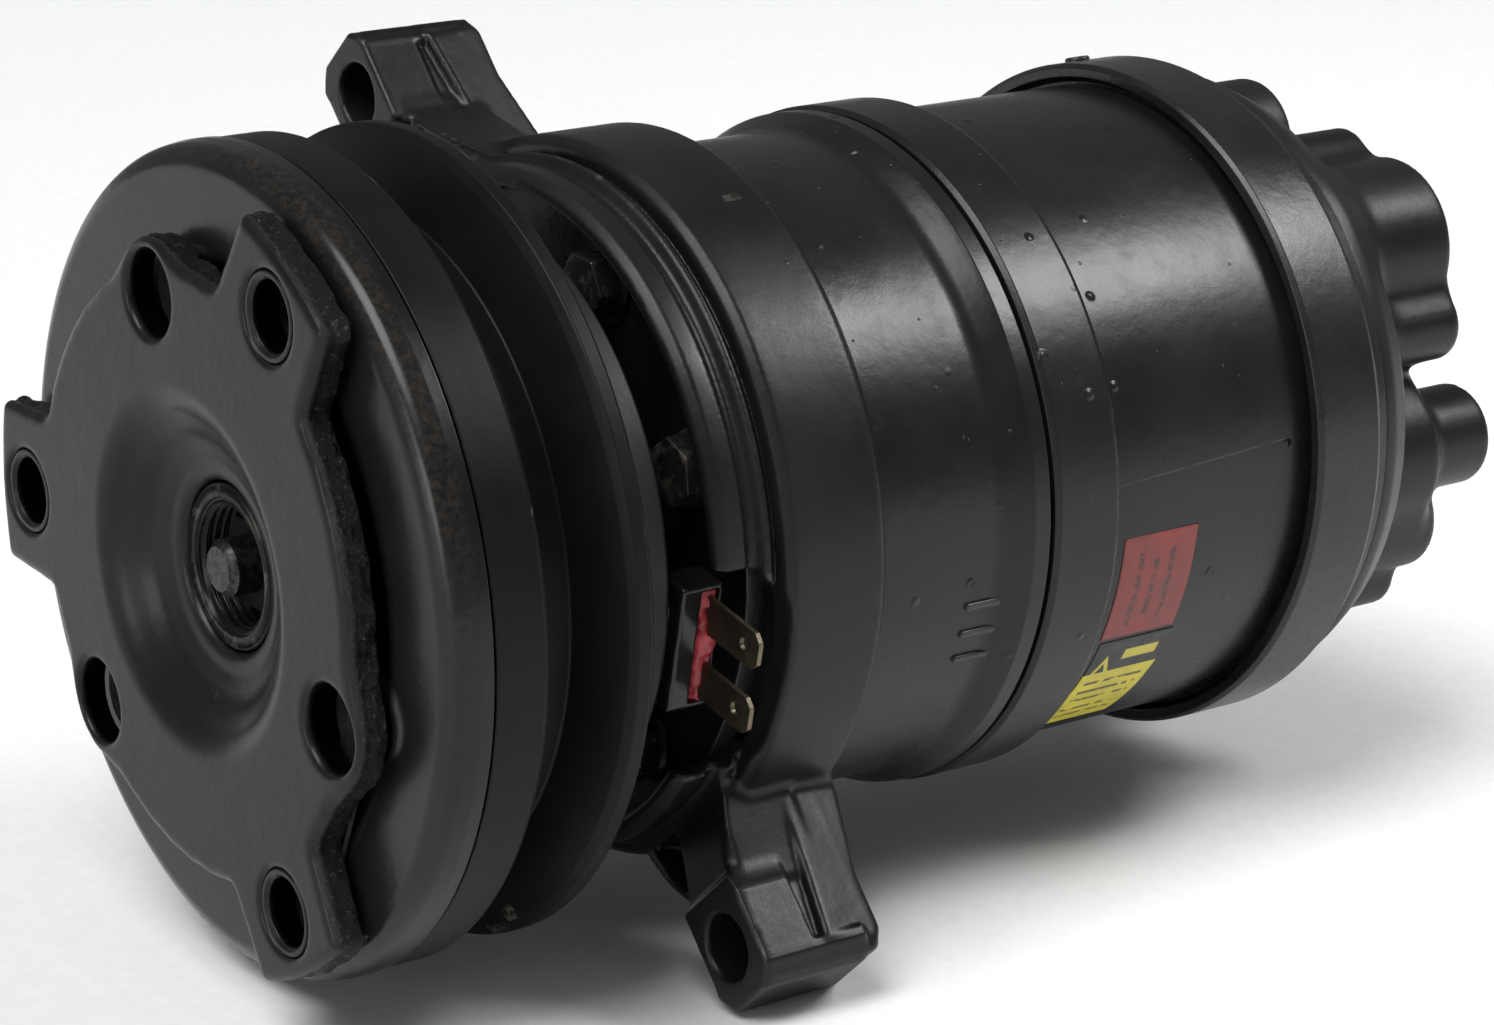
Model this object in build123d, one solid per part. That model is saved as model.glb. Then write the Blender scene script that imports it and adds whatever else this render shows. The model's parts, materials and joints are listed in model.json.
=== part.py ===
from build123d import *
import os
from math import atan2, cos, degrees, radians, sin, tan

# Automotive air-conditioning compressor with a magnetic clutch, millimetres.
# The shaft lies along Y: the clutch faces -Y, the rear head faces +Y, and +Z is up.
# The origin is on the shaft axis, in the plane of the front faces of the two mounting ears.
# "Angle" always means the angle about the shaft, from +X towards +Z, seen from the clutch.

# ---- driving dimensions -------------------------------------------------------------
FIT = 0.05                 # radial clearance of running fits
HEAD_R = 60.3              # flange of the front head
BODY_R = 55.4              # front cylinder barrel
REAR_BODY_R = 55.9         # rear cylinder barrel
BAND_R = 58.8              # raised band at the front of the rear cylinder
REAR_HEAD_R = 59.8         # flange of the rear head

WALL_Y = -3.0              # front rim of the head's ring wall
WEB_Y = 4.0                # front face of the head's web, under the bolt heads
STEP_Y = 7.6               # where the ring wall meets the flange
HEAD_END_Y = 24.2          # rear end of the front head's skirt
FRONT_SEAT_Y = 14.6        # gasket seat in the front head
REAR_SEAT_Y = 125.9        # gasket seat in the rear head
SPLIT_Y = 61.8             # rear face of the front cylinder's flange
REAR_SKIRT_Y = 119.4       # front rim of the rear head
REAR_FLANGE_END_Y = 134.2
PORT_Y = 165.0             # end of the rear bosses

GASKET_T = 0.6
PLATE_T = 2.6
REED_T = 0.3

# swash-plate mechanism
PISTON_ANGLES = (104.5, -15.5, -135.5)
PITCH_R = 31.0             # circle of the cylinder bores
BORE_R = 18.0
PISTON_R = BORE_R - FIT
TILT = radians(20.5)
STROKE_HALF = PITCH_R * tan(TILT)
SWASH_HIGH_ANGLE = 90.0    # where the plate reaches furthest to the rear, at rest
SWASH_R = 38.5
SWASH_T = 6.0
BALL_R = 6.0
SHOE_R = 7.0
SHOE_T = 3.6
BALL_ABOVE_SHOE = 6.8      # centre of the ball above the shoe's flat face
OIL_FILM = 0.05
END_CLEARANCE = 0.45       # piston crown to valve plate at top dead centre

# bolts, shaft and bearings
BOLT_ANGLES = (21.0, 68.0, 141.0, 188.0, 261.0, 308.0)
PASSAGE_ANGLES = (44.5, 164.5, 284.5)
BOLT_CIRCLE_R = 43.5
BOLT_R = 3.5
BOLT_HOLE_R = 3.7
BOLT_END_Y = 152.5
PASSAGE_R = 5.0
PIN_ANGLES = (85.0, 245.0) # locating pins between heads, plates and cylinders
PIN_CIRCLE_R = 51.0
PIN_R = 2.0
PIN_HOLE_R = 2.02
SHAFT_R = 8.0
SHAFT_HOLE_R = 8.6
NECK_R = 17.5
NECK_BORE_R = 12.2
NECK_ROOT_R = 24.0
HUB_SEAT_R = 26.5          # bearing seat in the pulley
BALL_BEARING_R = 2.6
BALL_PITCH_R = 22.0
BALL_ROWS = (-40.4, -31.6)
BALLS_PER_ROW = 18
SHAFT_BEARING_YS = ((24.0, 44.0), (96.5, 116.5))
SHAFT_ROLLER_COUNT = 16
SHAFT_ROLLER_R = 0.95

# clutch
PLATE_FRONT_Y = -64.5      # front face of the driver plate
PLATE_BACK_Y = -59.0
LOBE_R = 65.3
WAIST_R = 49.9
WAIST_MID_R = 49.2
LOBE_ANGLES = (59.3, 179.3, 299.3)
LOBE_HALF = 12.5
WAIST_START = 17.5
RING_HOLE_CIRCLE_R = 54.7
PLAIN_HOLE_CIRCLE_R = 44.2
PLAIN_HOLE_ANGLES = (102.5, -17.5, -137.5)
PLATE_HOLE_R = 7.0
PLATE_HOLE_WALL = 1.7
DISH_R = 27.5
HUB_FACE_Y = -57.1
ARMATURE_R = 67.0
ARMATURE_FRONT_Y = -57.6
ARMATURE_BACK_Y = -50.4
AIR_GAP = 0.5
PULLEY_R = 66.7
PULLEY_FRONT_Y = ARMATURE_BACK_Y + AIR_GAP
GROOVE_FRONT_Y = -40.5
GROOVE_REAR_Y = -25.3
GROOVE_BOTTOM_R = 54.7
PULLEY_REAR_Y = -21.2
PULLEY_WALL_R = 51.5

# rear ports
SUCTION_R = 8.75
SUCTION_CIRCLE_R = 40.0
SUCTION_ANGLE = 44.5
SUCTION_DEPTH = 15.0
DISCHARGE_R = 7.25
DISCHARGE_CIRCLE_R = 41.0
DISCHARGE_ANGLE = 104.5
DISCHARGE_END_Y = PORT_Y + 1
DISCHARGE_DEPTH = 14.0
MANIFOLD_BOLT_R = 4.25
MANIFOLD_BOLT_CIRCLE_R = 20.0
MANIFOLD_ANGLE = 74.5
MANIFOLD_BOLT_DEPTH = 18.0
BOSS_ROOT_Y = 138.0
BOLT_BOSS_R = 6.7
CAP_R = 40.0               # flat middle of the rear head
CAP_END_Y = 160.5
RELIEF_ANGLE = -12.0
RELIEF_CIRCLE_R = 36.9
RELIEF_BOSS_R = 9.1
RELIEF_BORE_R = 5.5
RELIEF_END_Y = 175.2
BOSSES = (   # angle, circle radius, boss radius, end y
    (SUCTION_ANGLE, SUCTION_CIRCLE_R, 15.0, PORT_Y),
    (DISCHARGE_ANGLE, DISCHARGE_CIRCLE_R, 11.4, DISCHARGE_END_Y),
    (-33.0, 39.5, 9.8, PORT_Y),        # oil charge boss
    (-15.5, 33.0, 15.5, 161.0),        # pad under the relief valve
    (-135.5, 33.0, 15.5, 158.0),
    (164.5, 38.0, 13.0, 160.0),
    (-78.0, 37.0, 11.0, 158.0),
)

# mounting ears
EAR_ANGLES = (132.0, -48.0)
EAR_BOLT_R = 80.6
EAR_TIP_R = 90.0
EAR_HOLE_R = 5.5
EAR_DEPTH = 24.0
EAR_ARM_HALF = 9.6         # half width of an ear's rear arm

TICK_ANGLES = (-12.8, -18.2, -23.4)   # cast ridges on the front barrel

# coil connector
ARCH_ANGLE = -14.0         # opening in the head's wall over the connector
TERMINAL_ANGLE = -12.5
TERMINAL_FACE_R = 50.2
TERMINAL_HALF = 11.0       # half width of the connector block
BLADE_WIDTH = 6.3
BLADE_T = 0.8
BLADE_TIP_R = 64.0
BLADE_OFFSET = 5.7

# worked out
FRONT_BLOCK_Y = FRONT_SEAT_Y + GASKET_T + PLATE_T + REED_T
REAR_BLOCK_Y = REAR_SEAT_Y - GASKET_T - PLATE_T - REED_T
SWASH_Y = (FRONT_BLOCK_Y + REAR_BLOCK_Y) / 2
BALL_OFFSET = (SWASH_T / 2 + BALL_ABOVE_SHOE) / cos(TILT)
PISTON_HALF = SWASH_Y - FRONT_BLOCK_Y - STROKE_HALF - END_CLEARANCE
SLOT_HALF = BALL_OFFSET - 0.15
PISTON_WEB = 9.3           # the piston is solid beyond this distance outside its own axis
BLOCK_DEPTH = 27.9         # bored length of each cylinder block
CRANKCASE_R = 50.5
RACE_R = 12.5
RACE_BORE_R = 8.4
RACE_T = 1.0
NEEDLE_R = 0.95
NEEDLE_COUNT = 18
PORT_CIRCLE_IN = 24.5      # discharge ports
PORT_CIRCLE_OUT = 37.0     # suction ports


# ---- drawing helpers ----------------------------------------------------------------
def outward(angle):
    """Unit vector away from the shaft."""
    return Vector(cos(radians(angle)), 0, sin(radians(angle)))


def across(y, angle=0.0):
    """Drawing plane across the shaft, seen from the clutch, first axis at the angle."""
    return Plane(origin=(0, y, 0), x_dir=outward(angle), z_dir=(0, -1, 0))


def along(angle=0.0):
    """Drawing plane that holds the shaft: first axis outward at the angle, second +Y."""
    return Plane(origin=(0, 0, 0), x_dir=outward(angle), z_dir=outward(angle).cross(Vector(0, 1, 0)))


def facing_out(radius, angle):
    """Drawing plane at a radius, facing away from the shaft: first axis around, second -Y."""
    around = Vector(-sin(radians(angle)), 0, cos(radians(angle)))
    return Plane(origin=outward(angle) * radius, x_dir=around, z_dir=outward(angle))


def turned(*profile):
    """Solid of revolution about the shaft from (radius, y) corners."""
    return revolve(make_face(Polyline(*profile, close=True)), Axis.Y)


def segment(inner, outer, y0, y1, start, end):
    """Part of a ring between two angles."""
    profile = along(end) * Pos((inner + outer) / 2, (y0 + y1) / 2) * Rectangle(outer - inner, y1 - y0)
    return revolve(profile, Axis.Y, end - start)


def ring(outer, inner, y0, y1):
    """Plain ring about the shaft."""
    return extrude(across(y1) * (Circle(outer) - Circle(inner)), y1 - y0)


def peg(radius, y0, y1, circle_r=0.0, angle=0.0):
    """Round peg along Y, centred on a circle about the shaft."""
    return extrude(across(y1, angle) * Pos(circle_r, 0) * Circle(radius), y1 - y0)


def pegs(radius, y0, y1, circle_r, angles):
    return [peg(radius, y0, y1, circle_r, angle) for angle in angles]


def slab(outline, y0, y1, angle=0.0):
    """Straight prism along Y from (outward, around) corners."""
    return extrude(across(y1, angle) * make_face(Polyline(*outline, close=True)), y1 - y0)


def rib(outline, half_width, angle):
    """Prism across an ear from (outward, y) corners, as wide each way as given."""
    return extrude(along(angle) * make_face(Polyline(*outline, close=True)), half_width, both=True)


def o_ring(centre_r, section_r, y):
    return revolve(Pos(centre_r, y) * Circle(section_r), Axis.Y)


def group(solids):
    """Identical separate pieces in one node."""
    return Compound(children=[piece.solid() for piece in solids])


def rounded(shape, radius, y, r, tolerance=0.05):
    """Fillet the circular edges of one radius that lie across the shaft at one y."""
    edges = [e for e in shape.edges().filter_by(GeomType.CIRCLE)
             if abs(e.center().Y - y) < tolerance and abs(e.radius - r) < tolerance]
    return fillet(edges, radius)


# ---- housing ------------------------------------------------------------------------
def chambers(floor_y, seat_y):
    """Suction and discharge chambers of a head, with the passages that join them."""
    y0, y1 = sorted((floor_y, seat_y))
    outer = ring(38.5, 30.5, y0, y1)
    inner = ring(28.0, 14.5, y0, y1)
    return [outer, inner] + pegs(5.4, y0, y1, BOLT_CIRCLE_R - 1.5, PASSAGE_ANGLES)


def ear(angle):
    """One mounting ear: a front pad and a rear arm that meet at the tip, and a ribbed foot."""
    tip = EAR_TIP_R
    end = [(tip - 3.5, -8), (tip, -5), (tip, 5.5), (tip - 3, 9)]
    core = slab([(48, -7.4), (tip - 1, -7.4), (tip - 1, 7.4), (48, 7.4)], 0.8, EAR_DEPTH - 1, angle)
    pad = slab([(70, -8), *end, (74.5, 9), (70, 7.4)], 0, 10.4, angle)
    pad += slab([(tip - 5, -8), *end, (tip - 5, 9)], 0, EAR_DEPTH - 4, angle)
    arm = rib([(47, 17.2), (tip - 3.5, 12), (tip, 12), (tip, EAR_DEPTH), (77, EAR_DEPTH), (62, 28),
               (47, 28)], EAR_ARM_HALF, angle)
    arm &= slab([(46, -EAR_ARM_HALF), (tip - 4, -EAR_ARM_HALF), (tip, -5), (tip, 5.5),
                 (tip - 3.5, EAR_ARM_HALF), (46, EAR_ARM_HALF)], 5, 30, angle)
    foot = slab([(47, -25), (53.5, -21.5), (71.5, -8), (74, -7.4), (74, 7.4), (56, 10), (47, 17)],
                3.0, 17.5, angle)
    cells = [
        slab([(57.2, -14.6), (67.5, -8.6), (64, -3.6), (57.2, -8)], 2.0, 13.0, angle),
        slab([(57.2, -6.2), (62.5, -2.6), (61, 5.4), (57.2, 6.4)], 2.0, 12.0, angle),
        slab([(64.6, -2.2), (71.0, -1.0), (71.0, 5.2), (62.8, 5.2)], 2.0, 11.0, angle),
    ]
    slope = rib([(46, -1), (71, -1), (71, 1.2), (52.5, 6.4), (46, 6.4)], 30, angle)
    hole = peg(EAR_HOLE_R, -1, EAR_DEPTH + 1, EAR_BOLT_R, angle)
    corner = rib([(tip - 5, EAR_DEPTH + 1), (tip + 1, EAR_DEPTH + 1), (tip + 1, EAR_DEPTH - 5)], 12, angle)
    return core + pad + arm + (foot - cells) - slope - hole - corner


def front_head():
    body = turned(
        (SHAFT_HOLE_R, 0), (NECK_BORE_R, 0), (NECK_BORE_R, -46), (NECK_R, -46), (NECK_R, -24),
        (19.5, -22), (19.5, -16), (NECK_ROOT_R, -13), (NECK_ROOT_R, WEB_Y), (53, WEB_Y), (53, WALL_Y + 0.8),
        (53.8, WALL_Y), (55, WALL_Y), (56.5, WALL_Y + 1.5), (56.5, 2.4), (55.9, 3.0), (55.9, 4.0),
        (57.6, 5.2), (57.6, 6.4), (56.6, 7.0), (56.6, STEP_Y), (HEAD_R - 1.2, STEP_Y),
        (HEAD_R, STEP_Y + 1.4), (HEAD_R, HEAD_END_Y - 2.2), (HEAD_R - 2, HEAD_END_Y),
        (REAR_BODY_R + 0.1, HEAD_END_Y), (REAR_BODY_R + 0.1, FRONT_SEAT_Y), (SHAFT_HOLE_R, FRONT_SEAT_Y),
    )
    arch = extrude(facing_out(48, ARCH_ANGLE) * Pos(-2.5, 1.5) * RectangleRounded(38, 19.5, 7.5), 14)
    clear_inside = peg(REAR_BODY_R + 0.1, FRONT_SEAT_Y, 40)
    ears = [ear(angle) - clear_inside for angle in EAR_ANGLES]
    body = body - arch
    for one in ears:
        body += one - peg(53, -10, WEB_Y) - peg(50, WEB_Y, 10)
    snap_groove = ring(NECK_R + 1, 16.4, -45.1, -43.7)
    seal_groove = ring(13.2, NECK_BORE_R - 0.5, -26.3, -24.9)
    oil_holes = pegs(2.0, 6, FRONT_SEAT_Y + 1, 11.6, (44.5, 164.5, 284.5))
    cuts = chambers(7.2, FRONT_SEAT_Y) + [snap_groove, seal_groove] + oil_holes
    cuts += pegs(BOLT_HOLE_R, WEB_Y - 1, 30, BOLT_CIRCLE_R, BOLT_ANGLES)
    cuts += pegs(PIN_HOLE_R, 10.8, 16, PIN_CIRCLE_R, PIN_ANGLES)
    return body - cuts


def bores(y0, y1):
    return pegs(BORE_R, y0, y1, PITCH_R, PISTON_ANGLES)


def block_cuts(y0, y1):
    """What is drilled through both cylinder blocks."""
    cuts = bores(y0, y1) + pegs(BOLT_HOLE_R, y0, y1, BOLT_CIRCLE_R, BOLT_ANGLES)
    return cuts + pegs(PASSAGE_R, y0, y1, BOLT_CIRCLE_R, PASSAGE_ANGLES)


def front_cylinder():
    block_end = FRONT_BLOCK_Y + BLOCK_DEPTH
    hub_end = SWASH_Y - BALL_OFFSET - 2 * RACE_T
    barrel = turned(
        (SHAFT_HOLE_R, FRONT_BLOCK_Y), (53.8, FRONT_BLOCK_Y), (53.8, FRONT_BLOCK_Y + 2.2),
        (REAR_BODY_R, FRONT_BLOCK_Y + 2.2), (REAR_BODY_R, 23.2), (BODY_R, 23.6), (BODY_R, 53.5),
        (57.6, 57.2), (58.2, 58.2), (58.2, SPLIT_Y),
        (REAR_BODY_R, SPLIT_Y), (REAR_BODY_R, 64), (53.8, 64), (53.8, 66.2), (REAR_BODY_R, 66.2),
        (REAR_BODY_R, 67.6), (CRANKCASE_R, 67.6), (CRANKCASE_R, block_end), (RACE_R, block_end),
        (RACE_R, hub_end), (SHAFT_HOLE_R, hub_end),
    )
    bearing_bore = peg(11, 23, block_end - 0.9)
    barrel = barrel - block_cuts(FRONT_BLOCK_Y - 1, block_end + 1) - bearing_bore
    for angle in TICK_ANGLES:
        barrel += segment(BODY_R - 0.4, BODY_R + 0.55, 47.5, 57.6, angle - 0.55, angle + 0.55)
    return barrel - pegs(PIN_HOLE_R, FRONT_BLOCK_Y - 1, 24, PIN_CIRCLE_R, PIN_ANGLES)


def rear_cylinder():
    block_start = REAR_BLOCK_Y - BLOCK_DEPTH
    hub_start = SWASH_Y + BALL_OFFSET + 2 * RACE_T
    front = SPLIT_Y + 0.8
    barrel = turned(
        (SHAFT_HOLE_R, REAR_BLOCK_Y), (53.8, REAR_BLOCK_Y), (53.8, REAR_BLOCK_Y - 2.2),
        (REAR_BODY_R, REAR_BLOCK_Y - 2.2), (REAR_BODY_R, 77.2), (BAND_R - 0.4, 76.0), (BAND_R, 75.2),
        (BAND_R, front + 0.8), (BAND_R - 0.8, front), (REAR_BODY_R + 0.1, front), (REAR_BODY_R + 0.1, 67.8),
        (CRANKCASE_R, 67.8), (CRANKCASE_R, block_start), (RACE_R, block_start), (RACE_R, hub_start),
        (SHAFT_HOLE_R, hub_start),
    )
    bearing_bore = peg(11, block_start + 0.9, REAR_BLOCK_Y - 4.9)
    barrel = barrel - block_cuts(block_start - 1, REAR_BLOCK_Y + 1) - bearing_bore
    return barrel - pegs(PIN_HOLE_R, 116.5, REAR_BLOCK_Y + 1, PIN_CIRCLE_R, PIN_ANGLES)


def rear_head():
    casting = turned(
        (0, REAR_SEAT_Y), (REAR_BODY_R + 0.15, REAR_SEAT_Y), (REAR_BODY_R + 0.15, REAR_SKIRT_Y + 1.4),
        (57.6, REAR_SKIRT_Y + 1.2), (57.6, REAR_SKIRT_Y), (REAR_HEAD_R - 0.8, REAR_SKIRT_Y),
        (REAR_HEAD_R, REAR_SKIRT_Y + 0.8), (REAR_HEAD_R, REAR_FLANGE_END_Y - 1.4),
        (REAR_HEAD_R - 1.1, REAR_FLANGE_END_Y), (57.2, REAR_FLANGE_END_Y + 0.8),
        (56.6, 140), (54.4, 144.5), (49, 146.5), (CAP_R, 147.5), (CAP_R, 158), (CAP_R - 3, CAP_END_Y),
        (0, CAP_END_Y),
    )
    for angle, circle_r, boss_r, end_y in BOSSES:
        casting += rounded(peg(boss_r, BOSS_ROOT_Y, end_y, circle_r, angle), 1.6, end_y, boss_r)
    for angle in BOLT_ANGLES:
        boss = peg(BOLT_BOSS_R, BOSS_ROOT_Y, PORT_Y, BOLT_CIRCLE_R - 0.8, angle)
        casting += rounded(boss, 1.4, PORT_Y, BOLT_BOSS_R)
    stub = peg(RELIEF_BOSS_R, 150, RELIEF_END_Y, RELIEF_CIRCLE_R, RELIEF_ANGLE)
    casting += rounded(stub, 1.2, RELIEF_END_Y, RELIEF_BOSS_R)
    casting += extrude(facing_out(REAR_BODY_R + 1, DISCHARGE_ANGLE) * Pos(0, -127) * Circle(2.4), 4.6)
    cuts = chambers(REAR_SEAT_Y, 136)
    cuts += pegs(BOLT_R + 0.01, REAR_SEAT_Y - 1, BOLT_END_Y + 0.5, BOLT_CIRCLE_R, BOLT_ANGLES)
    cuts += pegs(PIN_HOLE_R, REAR_SEAT_Y - 1, 130, PIN_CIRCLE_R, PIN_ANGLES)
    cuts += [
        peg(SUCTION_R, PORT_Y - SUCTION_DEPTH, PORT_Y + 1, SUCTION_CIRCLE_R, SUCTION_ANGLE),
        peg(5.2, 130, PORT_Y - SUCTION_DEPTH + 1, 37, SUCTION_ANGLE),
        peg(DISCHARGE_R, DISCHARGE_END_Y - DISCHARGE_DEPTH, PORT_Y + 2, DISCHARGE_CIRCLE_R,
            DISCHARGE_ANGLE),
        extrude(facing_out(22, DISCHARGE_ANGLE) * Pos(0, -153) * Circle(4), 19),
        peg(4, 130, 157, 22, DISCHARGE_ANGLE),
        peg(MANIFOLD_BOLT_R, CAP_END_Y - MANIFOLD_BOLT_DEPTH, PORT_Y, MANIFOLD_BOLT_CIRCLE_R,
            MANIFOLD_ANGLE),
        peg(RELIEF_BORE_R, 158, RELIEF_END_Y + 1, RELIEF_CIRCLE_R, RELIEF_ANGLE),
        peg(2, 130, 159, 36, RELIEF_ANGLE),
    ]
    return casting - cuts


def relief_valve():
    body = peg(RELIEF_BORE_R - FIT, 158.2, RELIEF_END_Y - 0.4, RELIEF_CIRCLE_R, RELIEF_ANGLE)
    hexagon = Pos(RELIEF_CIRCLE_R, 0) * RegularPolygon(3.2, 6)
    socket = extrude(across(RELIEF_END_Y, RELIEF_ANGLE) * hexagon, 4)
    vent = peg(1.2, 157, RELIEF_END_Y, RELIEF_CIRCLE_R, RELIEF_ANGLE)
    return body - socket - vent


def through_bolts():
    bolts = []
    for angle in BOLT_ANGLES:
        shank = peg(BOLT_R, WEB_Y, BOLT_END_Y, BOLT_CIRCLE_R, angle)
        flange = peg(6.2, WEB_Y - 1.4, WEB_Y, BOLT_CIRCLE_R, angle)
        hexagon = across(WEB_Y - 1.4, angle) * Pos(BOLT_CIRCLE_R, 0) * RegularPolygon(5.8, 6)
        bolts.append(shank + flange + extrude(hexagon, 4.2))
    return group(bolts)


def body_orings():
    centres = (FRONT_BLOCK_Y + 1.1, 65.1, REAR_BLOCK_Y - 1.1)
    return group([o_ring(54.85, 0.95, y) for y in centres])


def plate_blank(y0, y1):
    """Round sheet with the holes that all the sheets between a head and a block share."""
    sheet = ring(55.3, SHAFT_HOLE_R, y0, y1)
    cuts = pegs(BOLT_HOLE_R, y0 - 1, y1 + 1, BOLT_CIRCLE_R, BOLT_ANGLES)
    cuts += pegs(PASSAGE_R, y0 - 1, y1 + 1, BOLT_CIRCLE_R, PASSAGE_ANGLES)
    cuts += pegs(PIN_HOLE_R, y0 - 1, y1 + 1, PIN_CIRCLE_R, PIN_ANGLES)
    return sheet - cuts


def port_holes(y0, y1, radius, circle_r):
    holes = []
    for angle in PISTON_ANGLES:
        holes += pegs(radius, y0 - 1, y1 + 1, circle_r, (angle - 9, angle + 9))
    return holes


def head_gaskets():
    gaskets = []
    for y0 in (FRONT_SEAT_Y, REAR_SEAT_Y - GASKET_T):
        y1 = y0 + GASKET_T
        openings = [peg(28.0, y0 - 1, y1 + 1)]
        for angle in PISTON_ANGLES:
            openings.append(segment(30.5, 38.5, y0 - 1, y1 + 1, angle - 56, angle + 56))
        gaskets.append(plate_blank(y0, y1) - openings)
    return group(gaskets)


def valve_plates():
    plates = []
    for y0 in (FRONT_SEAT_Y + GASKET_T, REAR_SEAT_Y - GASKET_T - PLATE_T):
        y1 = y0 + PLATE_T
        plates.append(plate_blank(y0, y1) - port_holes(y0, y1, 2.6, PORT_CIRCLE_IN)
                      - port_holes(y0, y1, 2.9, PORT_CIRCLE_OUT - 3))
    return group(plates)


def suction_reeds():
    reeds = []
    for y0 in (FRONT_BLOCK_Y - REED_T, REAR_BLOCK_Y):
        y1 = y0 + REED_T
        sheet = plate_blank(y0, y1) - port_holes(y0, y1, 3.4, PORT_CIRCLE_IN)
        for angle in PISTON_ANGLES:
            frame_cut = slab([(29, -11), (41, -11), (41, 11), (29, 11)], y0 - 1, y1 + 1, angle)
            tongue = slab([(28, -9.6), (39.6, -9.6), (39.6, 9.6), (28, 9.6)], y0 - 1, y1 + 1, angle)
            sheet = sheet - (frame_cut - tongue)
        reeds.append(sheet)
    return group(reeds)


def discharge_reeds():
    reeds = []
    for y0 in (FRONT_SEAT_Y + GASKET_T - REED_T, REAR_SEAT_Y - GASKET_T):
        y1 = y0 + REED_T
        star = ring(18, 14.8, y0, y1)
        for angle in PISTON_ANGLES:
            star += segment(15.5, 27.6, y0, y1, angle - 17, angle + 17)
        reeds.append(star)
    return group(reeds)


def locating_pins():
    front = pegs(PIN_R, 11.2, 23.5, PIN_CIRCLE_R, PIN_ANGLES)
    rear = pegs(PIN_R, 117.3, 129.6, PIN_CIRCLE_R, PIN_ANGLES)
    return group(front + rear)


def label(start, end, y0, y1):
    sticker = segment(REAR_BODY_R + 0.01, REAR_BODY_R + 0.16, y0, y1, start, end)
    return sticker.solid()


# ---- shaft, swash plate and pistons -------------------------------------------------
def shaft():
    rod = turned(
        (0, -59), (3.6, -59), (4.7, -57.8), (4.7, -46.5), (7.0, -46.5), (7.0, -34), (SHAFT_R, -33),
        (SHAFT_R, 117.2), (7.2, 118), (0, 118),
    )
    keyway = Pos(6.5, -41.5, 0) * Box(2.4, 10.1, 3.02)
    return rod - keyway


def shaft_key():
    return Pos(6.85, -41.5, 0) * Box(3.0, 10, 3.0)


def swash_normal():
    high = outward(SWASH_HIGH_ANGLE)
    return Vector(-high.X * sin(TILT), cos(TILT), -high.Z * sin(TILT))


def swash_plane():
    return Plane(origin=(0, SWASH_Y, 0), z_dir=swash_normal())


def swash_plate():
    hub_half = BALL_OFFSET - 2 * RACE_T
    disc = swash_plane() * Cylinder(SWASH_R, SWASH_T)
    hub = peg(RACE_R, SWASH_Y - hub_half, SWASH_Y + hub_half)
    return disc + hub - peg(SHAFT_R, SWASH_Y - 20, SWASH_Y + 20)


def piston_centre(angle):
    """Middle of a piston at rest, on its bore's axis."""
    lift = STROKE_HALF * cos(radians(angle - SWASH_HIGH_ANGLE))
    return outward(angle) * PITCH_R + Vector(0, SWASH_Y + lift, 0)


def ball_centre(angle, side):
    """Centre of the front (-1) or rear (+1) ball of a piston at rest."""
    return piston_centre(angle) + Vector(0, side * BALL_OFFSET, 0)


def ball(angle, side):
    return Pos(ball_centre(angle, side)) * Sphere(BALL_R)


def piston(angle):
    middle = piston_centre(angle).Y
    body = peg(PISTON_R, middle - PISTON_HALF, middle + PISTON_HALF, PITCH_R, angle)
    for end_y in (middle - PISTON_HALF, middle + PISTON_HALF):
        body = rounded(body, 0.5, end_y, PISTON_R)
    inner, web = PITCH_R - 20, PITCH_R + PISTON_WEB
    slot = slab([(inner, -20), (web, -20), (web, 20), (inner, 20)],
                middle - SLOT_HALF, middle + SLOT_HALF, angle)
    pockets = [Pos(ball_centre(angle, side)) * Sphere(BALL_R + FIT) for side in (-1, 1)]
    return body - slot - pockets


def shoe(angle, side):
    """Flat shoe between a ball and the swash plate."""
    centre = ball_centre(angle, side)
    towards = swash_normal() * -side
    face = Plane(origin=centre + towards * (BALL_ABOVE_SHOE - OIL_FILM), z_dir=-towards)
    disc = face * Cylinder(SHOE_R, SHOE_T, align=(Align.CENTER, Align.CENTER, Align.MIN))
    return disc - Pos(centre) * Sphere(BALL_R + FIT)


def thrust_needle(angle, side):
    """Needle roller that lies outward from the shaft, in one of the two thrust bearings."""
    origin = outward(angle) * (RACE_BORE_R + 0.8) + Vector(0, SWASH_Y + side * BALL_OFFSET, 0)
    return extrude(Plane(origin=origin, z_dir=outward(angle)) * Circle(NEEDLE_R), 3.0)


def needle_angles():
    step = 360 / NEEDLE_COUNT
    return [PISTON_ANGLES[0] + step * k for k in range(NEEDLE_COUNT)]


def thrust_needles():
    """All needles except the three that stand in line with the front balls."""
    every_third = NEEDLE_COUNT // 3
    front = [thrust_needle(a, -1) for k, a in enumerate(needle_angles()) if k % every_third]
    rear = [thrust_needle(a, 1) for a in needle_angles()]
    return group(front + rear)


def thrust_cages():
    cages = []
    for side in (-1, 1):
        y = SWASH_Y + side * BALL_OFFSET
        cage = ring(RACE_R, RACE_BORE_R + 0.2, y - 0.4, y + 0.4)
        windows = [slab([(9.1, -1.05), (12.3, -1.05), (12.3, 1.05), (9.1, 1.05)], y - 1, y + 1, a)
                   for a in needle_angles()]
        cages.append(cage - windows)
    return group(cages)


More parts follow.
